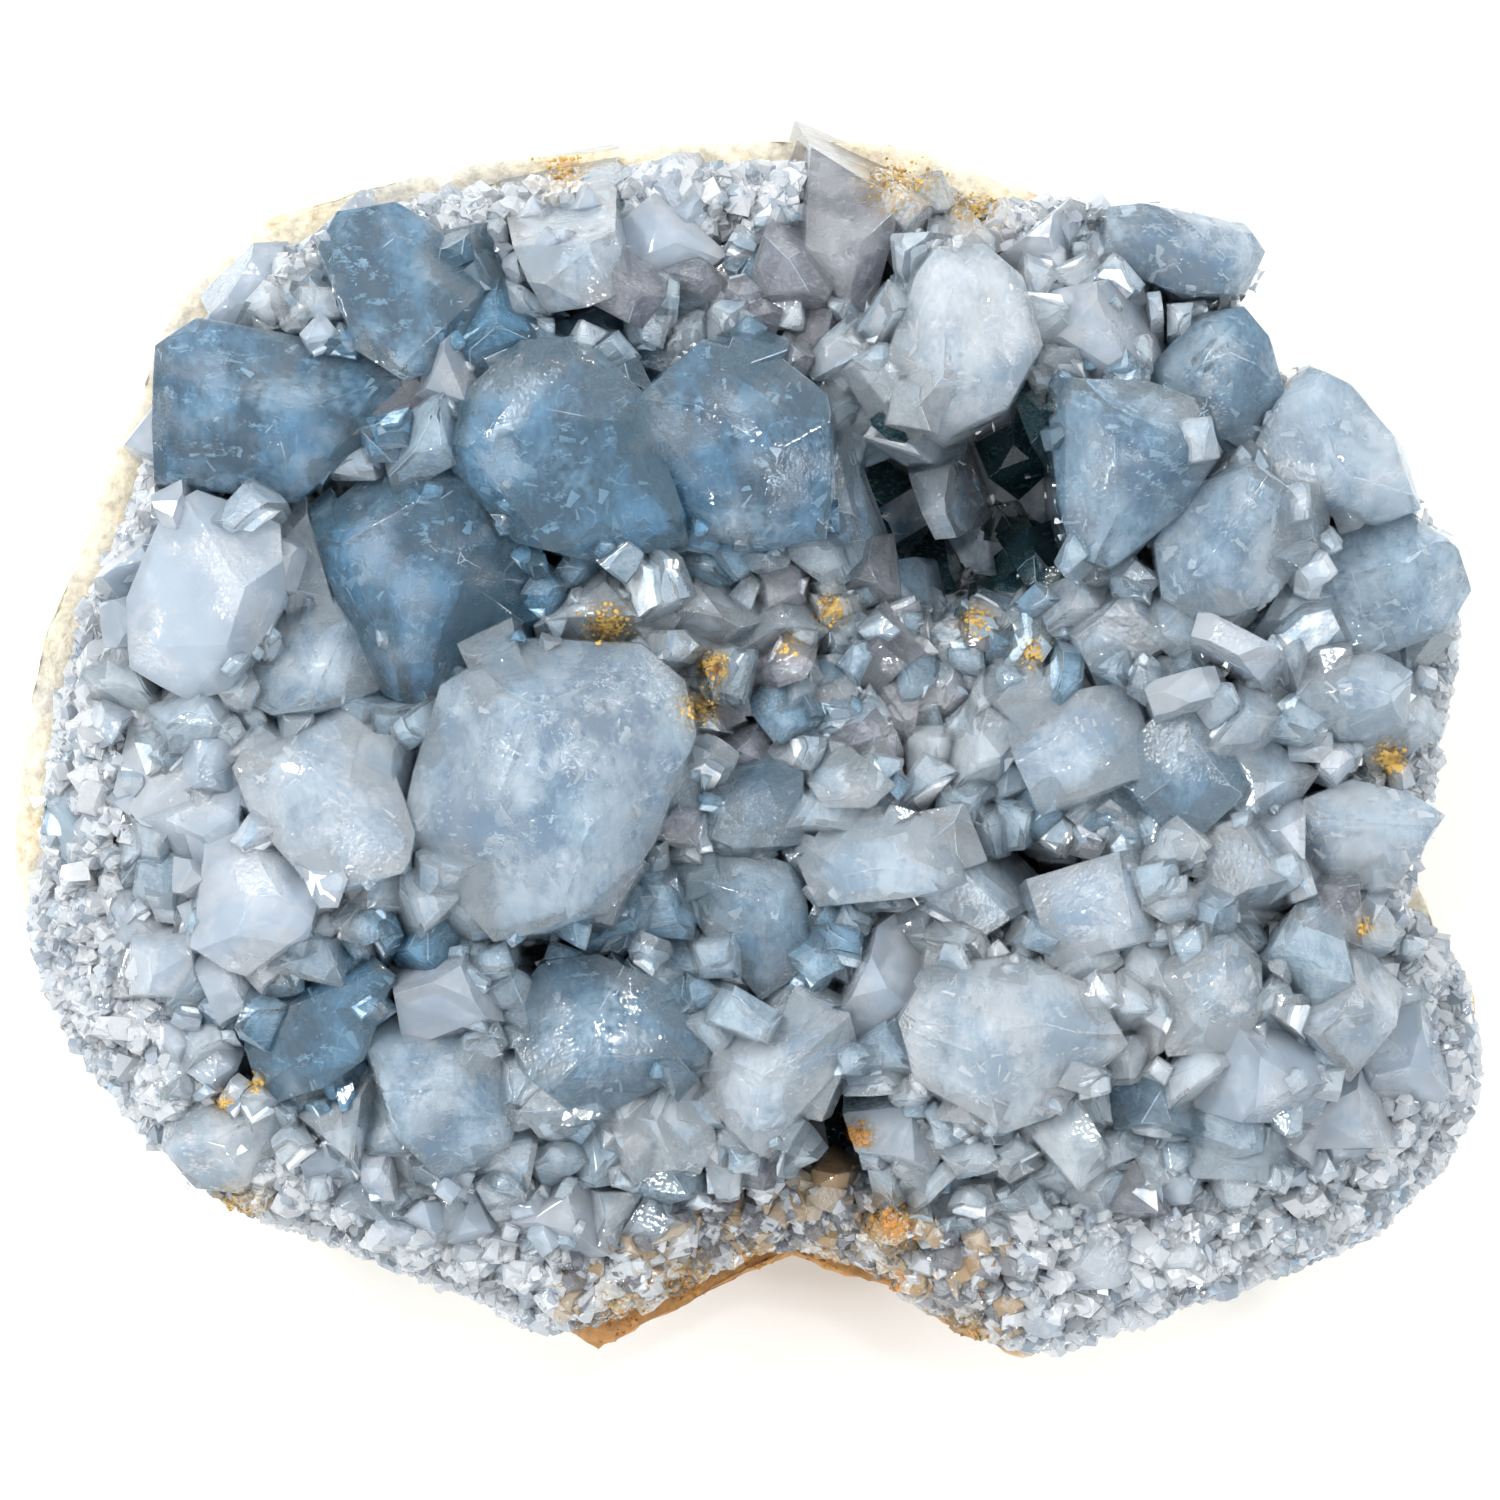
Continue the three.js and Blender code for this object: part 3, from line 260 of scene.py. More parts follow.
SMALL_CRYSTALS = [
    # the upper left
    ("smoky", -24.4, 22.4, 31.4, 15.6, 3.4, 36, 9, 290, 0.4),
    ("frosted", -20.4, 24.4, 32.4, 6.2, 4.2, 30, 14, 270, 0.3),
    ("pale", -11.4, 31.2, 33.4, 6.4, 4.6, 18, 20, 275, 0.5),
    ("frosted", -33.4, 31.0, 26.0, 7.0, 6.0, 30, 22, 130, 0.3),
    ("frosted", -27.6, 35.2, 24.6, 5.4, 4.6, 10, 22, 105, 0.25),
    ("frosted", -40.2, 21.0, 24.4, 5.0, 8.0, 10, 26, 180, 0.3),
    ("deep", -18.0, 8.0, 29.8, 11.6, 9.0, 58, 14, 250, 0.4),
    ("pale", -10.2, 9.8, 30.2, 9.0, 6.0, 20, 12, 100, 0.3),
    ("pale", -6.0, 11.2, 29.0, 6.4, 5.0, 50, 14, 60, 0.3),
    ("mid", 5.4, 17.6, 30.0, 4.8, 8.6, 4, 18, 350, 0.4),
    ("pale", -29.6, 12.6, 29.4, 4.4, 9.0, 14, 8, 25, 0.5),
    ("frosted", -44.0, 3.6, 22.0, 6.0, 6.6, 20, 24, 175, 0.2),
    ("deep", -23.4, -8.4, 29.8, 7.0, 6.0, 40, 18, 330, 0.2),
    # the lower left
    ("deep", -22.0, -11.8, 27.6, 12.4, 7.0, 160, 14, 275, 0.35),
    ("deep", -35.4, -17.2, 26.4, 5.6, 6.4, 8, 17, 185, 0.4),
    ("frosted", -19.6, -15.2, 32.8, 8.2, 5.6, 6, 12, 95, 0.2),
    ("deep", -12.8, -25.4, 26.4, 7.6, 7.4, 44, 28, 235, 0.25),
    ("frosted", -42.0, -19.4, 21.0, 7.6, 7.0, 50, 26, 210, 0.2),
    ("pale", -27.2, -25.2, 28.0, 7.0, 9.0, 4, 12, 255, 0.3),
    ("pale", -26.2, -30.4, 24.4, 8.2, 6.2, 20, 22, 260, 0.2),
    ("pale", -19.4, -31.4, 23.8, 8.0, 6.4, 40, 20, 265, 0.2),
    ("frosted", -12.8, -31.2, 25.4, 9.4, 8.0, 14, 16, 275, 0.2),
    # the middle channel
    ("smoky", -5.6, -12.4, 26.4, 6.0, 10.0, 20, 18, 30, 0.1),
    ("pale", -3.6, 9.8, 28.8, 8.4, 5.6, 30, 14, 90, 0.2),
    ("pale", 2.2, 8.6, 27.8, 6.4, 5.8, 52, 16, 20, 0.15),
    ("smoky", -1.8, 4.2, 27.6, 6.6, 5.4, 15, 18, 40, 0.2),
    ("smoky", 8.7, 7.2, 27.4, 5.2, 4.6, 36, 14, 60, 0.1),
    ("pale", 4.4, 3.6, 26.4, 5.2, 5.4, 12, 16, 190, 0.15),
    ("smoky", 10.6, 2.4, 25.4, 5.0, 5.6, 66, 18, 250, 0.1),
    ("pale", 18.8, 4.8, 27.4, 5.8, 6.2, 40, 14, 80, 0.25),
    ("smoky", 16.0, -1.8, 23.8, 5.8, 5.2, 30, 18, 310, 0.1),
    ("pale", 10.4, -12.2, 27.2, 8.4, 4.6, 10, 18, 270, 0.3),
    # the pocket
    ("pale", 12.8, 16.2, 24.6, 2.8, 4.8, 14, 14, 250, 0.2),
    ("teal", 17.8, 19.8, 19.6, 5.0, 5.0, 40, 20, 230, 0.2),
    ("teal", 18.6, 12.6, 21.6, 5.6, 4.2, 25, 16, 180, 0.1),
    # the top edge
    ("smoky", 6.4, 32.4, 30.0, 5.6, 9.4, -18, 16, 285, 0.2),
    ("smoky", 0.6, 30.6, 28.0, 5.4, 5.2, 30, 18, 300, 0.15),
    ("smoky", 4.8, 27.0, 29.0, 4.6, 4.4, 10, 14, 250, 0.2),
    ("teal", 6.6, 22.4, 26.4, 4.2, 6.0, 24, 18, 320, 0.15),
    ("frosted", -5.8, 34.0, 28.4, 5.4, 6.2, 40, 16, 80, 0.2),
    ("frosted", 11.4, 36.0, 25.6, 6.2, 4.8, 20, 18, 80, 0.2),
    ("frosted", 19.4, 34.4, 26.6, 6.6, 5.2, 8, 18, 90, 0.2),
    ("frosted", 22.6, 27.8, 31.0, 6.4, 6.4, 16, 10, 190, 0.4),
    # the right
    ("white", 31.9, 7.2, 33.0, 5.8, 2.2, 158, 10, 120, 0.5),
    ("white", 29.0, 4.2, 31.4, 5.4, 2.4, 16, 12, 100, 0.5),
    ("pale", 24.8, 9.4, 30.0, 7.4, 6.4, 24, 14, 100, 0.2),
    ("mid", 29.4, -1.0, 30.2, 8.2, 8.0, 40, 10, 30, 0.25),
    ("pale", 21.8, 0.6, 30.0, 9.0, 7.2, 14, 12, 150, 0.3),
    ("mid", 24.4, -4.2, 28.4, 6.0, 4.4, 20, 18, 250, 0.2),
    ("pale", 34.0, -2.4, 28.6, 6.6, 6.6, 62, 14, 10, 0.2),
    ("pale", 43.4, 2.6, 26.0, 6.0, 6.6, 30, 20, 0, 0.2),
    ("pale", 34.2, -8.2, 30.4, 7.0, 7.6, 36, 12, 330, 0.2),
    ("smoky", 38.6, -11.6, 28.0, 4.4, 5.0, 10, 14, 280, 0.4),
    ("pale", 23.8, -10.0, 31.0, 9.4, 6.2, 8, 10, 60, 0.25),
    # the lower right
    ("frosted", 8.0, -15.4, 30.6, 6.4, 5.6, 36, 12, 200, 0.25),
    ("frosted", 34.8, -22.0, 30.0, 9.2, 6.8, 168, 12, 300, 0.25),
    ("pale", 40.4, -16.8, 28.0, 7.4, 7.2, 48, 16, 350, 0.2),
    ("frosted", 45.0, -20.8, 22.6, 6.2, 7.2, 20, 24, 0, 0.2),
    ("mid", 27.2, -24.2, 27.6, 6.6, 6.2, 30, 12, 250, 0.2),
    ("frosted", 10.4, -26.8, 26.8, 7.0, 5.8, 20, 18, 260, 0.15),
    ("smoky", 26.2, -30.2, 23.0, 6.6, 5.6, 30, 20, 270, 0.3),
    ("pale", 33.8, -28.2, 25.0, 8.6, 6.2, 8, 20, 285, 0.2),
    ("frosted", 41.6, -26.0, 22.6, 7.4, 6.8, 40, 26, 320, 0.2),
    ("pale", 18.4, -29.8, 24.6, 7.8, 6.0, 24, 18, 265, 0.2),
    ("white", 23.2, -34.6, 21.0, 5.4, 4.4, 12, 22, 270, 0.3),
]

# Spots of iron oxide: x, y, spread in millimetres, how many crumbs, and the finish

RUST_SPOTS = [
    (-9.4, 8.3, 1.6, 150, "ochre"),
    (-2.4, 5.6, 1.4, 140, "ochre"),
    (-3.4, 2.8, 1.6, 60, "ochre"),
    (5.4, 9.4, 1.3, 60, "ochre"),
    (15.2, 8.7, 1.4, 90, "ochre"),
    (18.8, 6.6, 1.2, 50, "ochre"),
    (42.9, -0.6, 1.4, 160, "ochre"),
    (41.0, -11.8, 0.8, 30, "ochre"),
    (-32.9, -22.2, 0.8, 30, "ochre"),
    (-35.2, -23.6, 0.9, 30, "ochre"),
    (-34.8, -30.8, 1.8, 40, "ochre"),
    (7.2, -25.7, 1.2, 90, "rust"),
    (9.6, -32.0, 2.0, 160, "rust"),
    (2.4, 6.8, 1.0, 20, "ochre"),
    (-12.4, 39.2, 2.0, 70, "ochre"),
    (10.2, 38.2, 2.8, 110, "ochre"),
    (15.2, 36.6, 2.0, 60, "ochre"),
    (-8.6, -38.6, 2.2, 60, "rust"),
    (-4.2, -36.2, 2.0, 60, "rust"),
    (0.4, -34.8, 1.8, 60, "rust"),
    (5.0, -34.8, 1.8, 60, "rust"),
    (9.4, -36.2, 1.8, 60, "rust"),
    (14.4, -39.6, 2.0, 40, "rust"),
]

# The clear and frosted finishes of the celestite: its own tint, the colour of its veils, how clear
# it is, how rough, the colour that light takes on inside and how fast, how much is veiled, and
# the darkest and the lightest colour of the cloudy core

FINISHES = {
    "deep": ("#78A6C2", "#ACC8DB", 0.88, 0.03, "#3F86B4", 100, 0.10, "#071E30", "#467494"),
    "blue": ("#9CC4DC", "#C8DEEC", 0.87, 0.03, "#4694C6", 56, 0.18, "#103A58", "#A6CCE4"),
    "mid": ("#B0CDE0", "#D2E3EE", 0.84, 0.04, "#62A2CA", 36, 0.28, "#2A5C7E", "#B8D4E6"),
    "soft": ("#CCE0EE", "#E0EBF3", 0.82, 0.04, "#7AB2D6", 18, 0.34, "#4C7EA2", "#DCEAF4"),
    "pale": ("#D4E4F0", "#E6EEF5", 0.76, 0.06, "#8CB8D8", 13, 0.42, "#6A95B6", "#E6F0F7"),
    "clear": ("#E0EBF3", "#EEF3F8", 0.78, 0.04, "#A0C2D8", 9, 0.40, "#88AAC4", "#F2F7FA"),
    "frosted": ("#CCDAE8", "#E4EBF3", 0.64, 0.09, "#A8C2D8", 12, 0.50, "#94ADC6", "#ECF1F7"),
    "white": ("#CAD9E7", "#E4ECF4", 0.62, 0.06, "#B4CCE0", 10, 0.50, "#93ADC8", "#E8F0F7"),
    "sugar": ("#E6EDF4", "#F5F8FB", 0.50, 0.12, "#C8D8E6", 6, 0.50, "#D4E0EB", "#F6F9FC"),
    "smoky": ("#AEB2BC", "#D4D7DE", 0.76, 0.08, "#7A7F88", 40, 0.30, "#4A5262", "#BABFC9"),
    # The dark teal of the pocket and the hollows is painted shade of the recess, given as a finish of the crystals
    # there
    "teal": ("#4A7681", "#6C8E95", 0.85, 0.05, "#1E5660", 150, 0.10, "#081A1F", "#2A4F58"),
    "amber": ("#D9BC96", "#EDE0CC", 0.62, 0.12, "#BE8A46", 40, 0.40, "#A67C46", "#E8D6B8"),
}


def linear(code):
    """An sRGB hex value as linear red, green and blue."""
    parts = [int(code[i:i + 2], 16) / 255 for i in (1, 3, 5)]
    return tuple(c / 12.92 if c <= 0.04045 else ((c + 0.055) / 1.055) ** 2.4 for c in parts)


def scatter(n):
    """The same sine scatter as in the part's source, so the crystals come out alike."""
    s = math.sin(n * 12.9898) * 43758.5453
    return s - math.floor(s)


def between(low, high, n):
    return low + (high - low) * scatter(n)


def smoothstep(x, low, high):
    t = min(max((x - low) / (high - low), 0), 1)
    return t * t * (3 - 2 * t)


# The bowl

POLAR = sorted((math.atan2(y, x) % TAU, math.hypot(x, y)) for x, y in OUTLINE)


def outline_radius(angle):
    """Distance from the middle to the outline in a direction, in millimetres."""
    angle %= TAU
    for (a, near), (b, far) in zip([(POLAR[-1][0] - TAU, POLAR[-1][1])] + POLAR,
                                   POLAR + [(POLAR[0][0] + TAU, POLAR[0][1])]):
        if a <= angle <= b:
            return near + (far - near) * (angle - a) / (b - a)
    return POLAR[0][1]


def share_of(x, y):
    """(share of the outline's radius, direction) of a place seen from above."""
    angle = math.atan2(y, x)
    return math.hypot(x, y) / outline_radius(angle), angle


def rim_top(angle):
    return RIM_TOP + RIM_RISE * math.cos(angle - math.radians(RIM_HIGHEST))


def seam_height(share, angle):
    climb = smoothstep(share, 0.35, 1.05)
    wave = sum(h * math.sin(turns * angle + twist * share) for h, turns, twist in SEAM_WAVES)
    return WALL + (rim_top(angle) - WALL) * climb + wave * math.sin(math.pi * min(share, 1))


def seam_under(x, y):
    share, angle = share_of(x, y)
    return seam_height(min(share, 1), angle)


def whole_rind(angle):
    """1 where the smooth rind is whole, from the top round to the left, and 0 where it is broken."""
    turn = math.degrees(angle % TAU)
    start = smoothstep(turn, RIND_START - RIND_FADE, RIND_START)
    return start * (1 - smoothstep(turn, RIND_END, RIND_END + RIND_FADE))


def arch(angle):
    """1 along the broken arch at the lower edge and 0 elsewhere."""
    turn = math.degrees(angle % TAU)
    return smoothstep(turn, ARCH_START - 4, ARCH_START + 2) * (1 - smoothstep(turn, ARCH_END - 2, ARCH_END + 4))


def crust_edge(angle):
    """Share of the radius at which the crust ends."""
    return 1 - RIND_WIDTH * whole_rind(angle) - ARCH_WIDTH * arch(angle)


def crust_top(x, y):
    """Height of the layer that the crystals stand in, sunk where a hollow is."""
    share, angle = share_of(x, y)
    height = seam_height(share, angle) + CRUST + CRUST_SWELL * (1 - smoothstep(share, 0.5, 0.95))
    for hx, hy, radius in HOLLOWS:
        near = 1 - smoothstep(math.hypot(x - hx, y - hy), radius * 0.7, radius * 1.5)
        height -= near * (CRUST_SWELL + CRUST * 0.4)
    return height


# Crystals

def face(azimuth, slope, x, y, z):
    """A plane as (point, outward normal), from its direction and slope in degrees."""
    out = math.sin(math.radians(slope))
    a = math.radians(azimuth)
    normal = Vector((out * math.cos(a), out * math.sin(a), math.cos(math.radians(slope))))
    return Vector((x, y, z)) * MM, normal


def cut(bm, planes):
    """Shaves the solid to each plane in turn and closes the cut."""
    for point, normal in planes:
        made = bmesh.ops.bisect_plane(
            bm, geom=bm.verts[:] + bm.edges[:] + bm.faces[:], dist=1e-7,
            plane_co=point, plane_no=normal, clear_outer=True,
        )
        rim = [e for e in made["geom_cut"] if isinstance(e, bmesh.types.BMEdge)]
        if len(rim) > 2:
            bmesh.ops.contextual_create(bm, geom=rim)


def block(planes, middle, size):
    """A solid cut out of a cube by its faces."""
    bm = bmesh.new()
    bmesh.ops.create_cube(bm, size=size * MM, matrix=Matrix.Translation(Vector(middle) * MM))
    cut(bm, planes)
    return bm


def large_crystal(record, number):
    """A large crystal with the faces that it has in the part."""
    finish, top, rise, tilt, toward, outline = record
    cx = sum(x for x, y in outline) / len(outline)
    cy = sum(y for x, y in outline) / len(outline)
    low = seam_under(cx, cy) - ROOT
    planes = [face(0, 180, 0, 0, low), face(toward, tilt, cx, cy, top)]
    for side, (x, y) in enumerate(outline):
        nx, ny = outline[(side + 1) % len(outline)]
        azimuth = math.degrees(math.atan2(x - nx, ny - y))
        seed = (number + 1) * 31 + side
        px, py = cx + (x - cx) * GROWTH, cy + (y - cy) * GROWTH
        planes.append(face(azimuth, 90 - DRAFT * scatter(seed), px, py, top - rise))
        slope = between(GENTLE, STEEP, seed + 0.5)
        if slope < BARE:
            planes.append(face(azimuth, slope, px, py, top - rise))
    return block(planes, (cx, cy, 20), 90)


def small_crystal(x, y, top, width, breadth, turn, lean, toward, flat, seed, length=None):
    """A small crystal, made upright about its tip and then turned, leaned and set in place."""
    if length is None:
        length = (top - seam_under(x, y) + ROOT) / math.cos(math.radians(lean))
    planes = [
        face(0, 180, 0, 0, -length),
        face(scatter(seed) * 360, between(*TOP_SLOPE, seed + 1), 0, 0, 0),
    ]
    for side in range(4):
        azimuth = side * 90 + between(-STRAY, STRAY, seed + 2 + side)
        a = math.radians(azimuth)
        px, py = math.cos(a) * width * 0.5, math.sin(a) * breadth * 0.5
        planes.append(face(azimuth, 90 - DRAFT * scatter(seed + 8 + side), px, py, -width * SHOULDER))
    for end in range(3):
        azimuth = end * 120 + between(-2 * STRAY, 2 * STRAY, seed + 14 + end)
        a = math.radians(azimuth)
        px, py = math.cos(a) * width * flat * 0.5, math.sin(a) * breadth * flat * 0.5
        planes.append(face(azimuth, between(GENTLE, STEEP, seed + 19 + end), px, py, 0))
    bm = block(planes, (0, 0, 0), 2.4 * max(width, breadth, length))
    across = Vector((-math.sin(math.radians(toward)), math.cos(math.radians(toward)), 0))
    place = (
        Matrix.Translation(Vector((x, y, top)) * MM)
        @ Matrix.Rotation(math.radians(lean), 4, across)
        @ Matrix.Rotation(math.radians(turn), 4, "Z")
    )
    bmesh.ops.transform(bm, matrix=place, verts=bm.verts[:])
    return bm


def worn(bm, shaves, depth, edge, seed):
    """Shaves shallow facets off a crystal and dulls its keen edges. Edges and a few facets are bruised; on the edge
    strips the pale bruise is painted edge highlight as well.
    """
    rng = random.Random(seed)
    bm.normal_update()
    clean = {tuple(round(c, 2) for c in f.normal) for f in bm.faces}
    for _ in range(shaves):
        bm.normal_update()
        faces = [f for f in bm.faces if f.normal.z > 0.02]
        flat = rng.choices(faces, [f.calc_area() for f in faces])[0].normal
        out = (flat + Vector(rng.gauss(0, 0.24) for _ in range(3))).normalized()
        if out.z > 0.05:
            far = max(bm.verts, key=lambda v: v.co.dot(out)).co
            cut(bm, [(far - out * rng.uniform(0.1, 1) ** 2 * depth * MM, out)])
    bmesh.ops.dissolve_degenerate(bm, dist=0.02 * MM, edges=bm.edges[:])
    bm.normal_update()
    for f in bm.faces:
        chipped = tuple(round(c, 2) for c in f.normal) not in clean and f.calc_area() < 4 * MM * MM
        if chipped and rng.random() < 0.2:
            f.material_index = BRUISED_AND_HIGHLIT
    keen = [e for e in bm.edges if len(e.link_faces) == 2 and e.calc_face_angle() > 0.16]
    made = bmesh.ops.bevel(
        bm, geom=keen, offset=edge * MM, offset_type="OFFSET", segments=1, profile=0.5,
        affect="EDGES", clamp_overlap=True, material=-1,
    )
    # The edge strips turn pale in patches: partly knocked edges, partly painted edge highlight.
    for f in made["faces"]:
        knocked = noise.noise(f.calc_center_median() / (1.8 * MM)) > 0.2
        f.material_index = BRUISED_AND_HIGHLIT if knocked else CLEAN


def uneven(bm, mesh_size, depth):
    """Gives the faces the slight waviness of natural growth, and keeps the edges crisp."""
    for e in bm.edges:
        e.smooth = len(e.link_faces) == 2 and e.calc_face_angle() < 0.3
    ceiling = max(v.co.z for v in bm.verts)
    for _ in range(4):
        bmesh.ops.triangulate(bm, faces=bm.faces[:])
        long = [e for e in bm.edges if e.calc_length() > mesh_size * MM
                and max(v.co.z for v in e.verts) > ceiling - 9 * MM]
        bmesh.ops.subdivide_edges(bm, edges=long, cuts=1)
    bmesh.ops.triangulate(bm, faces=bm.faces[:])
    for vert in bm.verts:
        broad = noise.noise_vector(vert.co / (2.6 * MM)) * depth
        fine = noise.noise_vector(vert.co / (0.8 * MM)) * depth * 0.25
        vert.co += (broad + fine) * MM
    for f in bm.faces:
        f.smooth = True
        if f.material_index == BRUISED_AND_HIGHLIT and noise.noise(f.calc_center_median() / (1.8 * MM)) < 0.16:
            f.material_index = CLEAN


def core_of(crystal, across, up, depth, seed, wispy=True):
    """The cloudy core of a crystal: its own form drawn in, cut short at the root, its surface wispy."""
    bm = crystal.copy()
    low = min(bm.verts, key=lambda v: v.co.z).co.z
    root = [v.co for v in bm.verts if v.co.z < low + 1 * MM]
    foot = sum(root, Vector()) / len(root)
    shrink = Matrix.Translation(foot) @ Matrix.Diagonal((across, across, up, 1)) @ Matrix.Translation(-foot)
    bmesh.ops.transform(bm, matrix=shrink, verts=bm.verts[:])
    if not wispy:
        return bm
    top = max(v.co.z for v in bm.verts)
    cut(bm, [(Vector((0, 0, top - depth * MM)), Vector((0, 0, -1)))])
    for _ in range(4):
        bmesh.ops.triangulate(bm, faces=bm.faces[:])
        long = [e for e in bm.edges if e.calc_length() > 1.4 * MM]
        bmesh.ops.subdivide_edges(bm, edges=long, cuts=1)
    bmesh.ops.triangulate(bm, faces=bm.faces[:])
    bm.normal_update()
    for vert in bm.verts:
        wisp = noise.fractal(vert.co / (2.4 * MM) + Vector((seed, 0, 0)), 0.9, 2.1, 4)
        vert.co += vert.normal * (wisp - 0.25) * 0.8 * MM
    for f in bm.faces:
        f.smooth = True
    return bm


def flecks_on(core, count, longest, rng):
    """Healed cracks inside a crystal, just off its core: thin bright splinters, a few faces each."""
    pile = bmesh.new()
    spots = [v for v in core.verts if v.normal.z > 0]
    for _ in range(count):
        spot = rng.choice(spots)
        if noise.noise(spot.co / (3.5 * MM)) < rng.uniform(-0.3, 0.4):
            continue
        length = rng.uniform(0.15, 1) ** 1.6 * longest
        along = spot.normal.cross(Vector(rng.uniform(-1, 1) for _ in range(3))).normalized()
        place = (
            Matrix.Translation(spot.co + spot.normal * rng.uniform(0.15, 0.75) * MM)
            @ along.to_track_quat("Z", "Y").to_matrix().to_4x4()
            @ Matrix.Rotation(rng.uniform(0, TAU), 4, "Z")
            @ Matrix.Diagonal((length * rng.uniform(0.2, 1), 0.04 + 0.1 * length, length, 1))
        )
        bmesh.ops.create_cone(pile, segments=3, radius1=0.5 * MM, radius2=0.2 * MM, depth=1 * MM,
                              cap_ends=True, matrix=place)
    return pile


def stain_at(co):
    """How much iron oxide has seeped in at a place, from 0 to 1."""
    x, y = co.x / MM, co.y / MM
    return max(1 - smoothstep(math.hypot(x - sx, y - sy), spread * 0.4, spread * 1.5)
               for sx, sy, spread, *_ in RUST_SPOTS)


def frost_at(co):
    """How sugary the surface is at a place, from 0 to 1: in patches some millimetres across."""
    return smoothstep(noise.fractal(co / (4.5 * MM), 0.8, 2.2, 3), 0.12, 0.4)


def add_to(pile, bm, shade):
    """Adds a finished crystal to the pile of its finish, with the shade that its own material reads."""
    shades, stains, frosts = (bm.verts.layers.float.get(name) or bm.verts.layers.float.new(name)
                              for name in MASKS)
    for vert in bm.verts:
        vert[shades] = shade
        vert[stains] = stain_at(vert.co)
        vert[frosts] = frost_at(vert.co)
    scrap = bpy.data.meshes.new("scrap")
    bm.to_mesh(scrap)
    bm.free()
    pile.from_mesh(scrap)
    bpy.data.meshes.remove(scrap)


def new_pile():
    pile = bmesh.new()
    for name in MASKS:
        pile.verts.layers.float.new(name)
    return pile


def finished(name, bm, materials, replaces=None):
    """A pile as a named piece that rides on the cluster's one body."""
    mesh = bpy.data.meshes.new(name)
    bmesh.ops.recalc_face_normals(bm, faces=bm.faces[:])
    bm.to_mesh(mesh)
    bm.free()
    for material in materials:
        mesh.materials.append(material)
    piece = bpy.data.objects.new(name, mesh)
    bpy.context.collection.objects.link(piece)
    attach(piece, "root")
    if replaces:
        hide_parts(replaces)
    return piece


# Materials

def add_node(tree, kind, settings=None, links=None):
    """Adds a node with its settings and links. A key is a property's name, or an input's name or number."""
    made = tree.nodes.new(kind)
    for key, value in (settings or {}).items():
        if isinstance(key, int) or key in made.inputs:
            made.inputs[key].default_value = value
        else:
            setattr(made, key, value)
    for key, source in (links or {}).items():
        tree.links.new(source, made.inputs[key])
    return made


def new_material(name):
    material = bpy.data.materials.new(name)
    material.use_nodes = True
    tree = material.node_tree
    tree.nodes.clear()
    place = add_node(tree, "ShaderNodeTexCoord").outputs["Object"]
    return material, tree, place


def celestite(finish, small=False):
    """Celestite, grown in a geode: glassy faces, milky clouds inside, sugary frost in patches.

    A small crystal has fewer veils, and they are finer."""
    milk, veil, clear, rough, inside, depth, veiled, *_ = FINISHES[finish]
    if small:
        veiled *= 0.6
    material, tree, place = new_material(f"small_celestite_{finish}" if small else f"celestite_{finish}")

    def add(kind, settings=None, links=None, out=0):
        return add_node(tree, kind, settings, links).outputs[out]

    def part(value, low, high, start=0, end=1):
        """The value spread from one range to another, held at both ends."""
        return add("ShaderNodeMapRange",
                   {"From Min": low, "From Max": high, "To Min": start, "To Max": end}, {"Value": value})

    shade, stain, frost = (add("ShaderNodeAttribute", {"attribute_name": name}, out="Fac") for name in MASKS)
    clouds = add("ShaderNodeTexNoise",
                 {"Scale": 1 / ((1.3 if small else 4) * MM), "Detail": 3, "Roughness": 0.65}, {"Vector": place})
    grain = add("ShaderNodeTexNoise", {"Scale": 1 / (0.32 * MM), "Detail": 1}, {"Vector": place})
    cloud = add("ShaderNodeMath", {"operation": "MULTIPLY_ADD", 1: 0.3}, {0: shade, 2: clouds})
    milky = part(cloud, 0.84 - veiled * 0.5, 0.96 - veiled * 0.4)
    white = add("ShaderNodeMath", {"operation": "MAXIMUM"}, {0: milky, 1: frost})
    colour = add("ShaderNodeMix", {"data_type": "RGBA", 6: (*linear(milk), 1), 7: (*linear(veil), 1)},
                 {0: white}, 2)
    rusty = add("ShaderNodeMath", {"operation": "MULTIPLY"}, {0: stain, 1: part(grain, 0.4, 0.55)})
    colour = add("ShaderNodeMix", {"data_type": "RGBA", 7: (*bpy.context.scene.celestite_colours.ochre, 1)},
                 {0: rusty, 6: colour}, 2)
    roughness = part(frost, 0, 1, rough * 0.7, rough * 1.4 + 0.2)
    rise = add("ShaderNodeMath", {"operation": "MULTIPLY"}, {0: grain, 1: part(frost, 0, 1, 0.02, 0.12)})
    bump = add("ShaderNodeBump", {"Strength": 1, "Distance": 1 * MM}, {"Height": rise})
    surface = add("ShaderNodeBsdfPrincipled", {"IOR": 1.62, "Transmission Weight": clear},
                  {"Base Color": colour, "Roughness": roughness, "Normal": bump})
    volume = add("ShaderNodeVolumeAbsorption", {"Color": (*linear(inside), 1), "Density": depth})
    add_node(tree, "ShaderNodeOutputMaterial", None, {"Surface": surface, "Volume": volume})
    return material


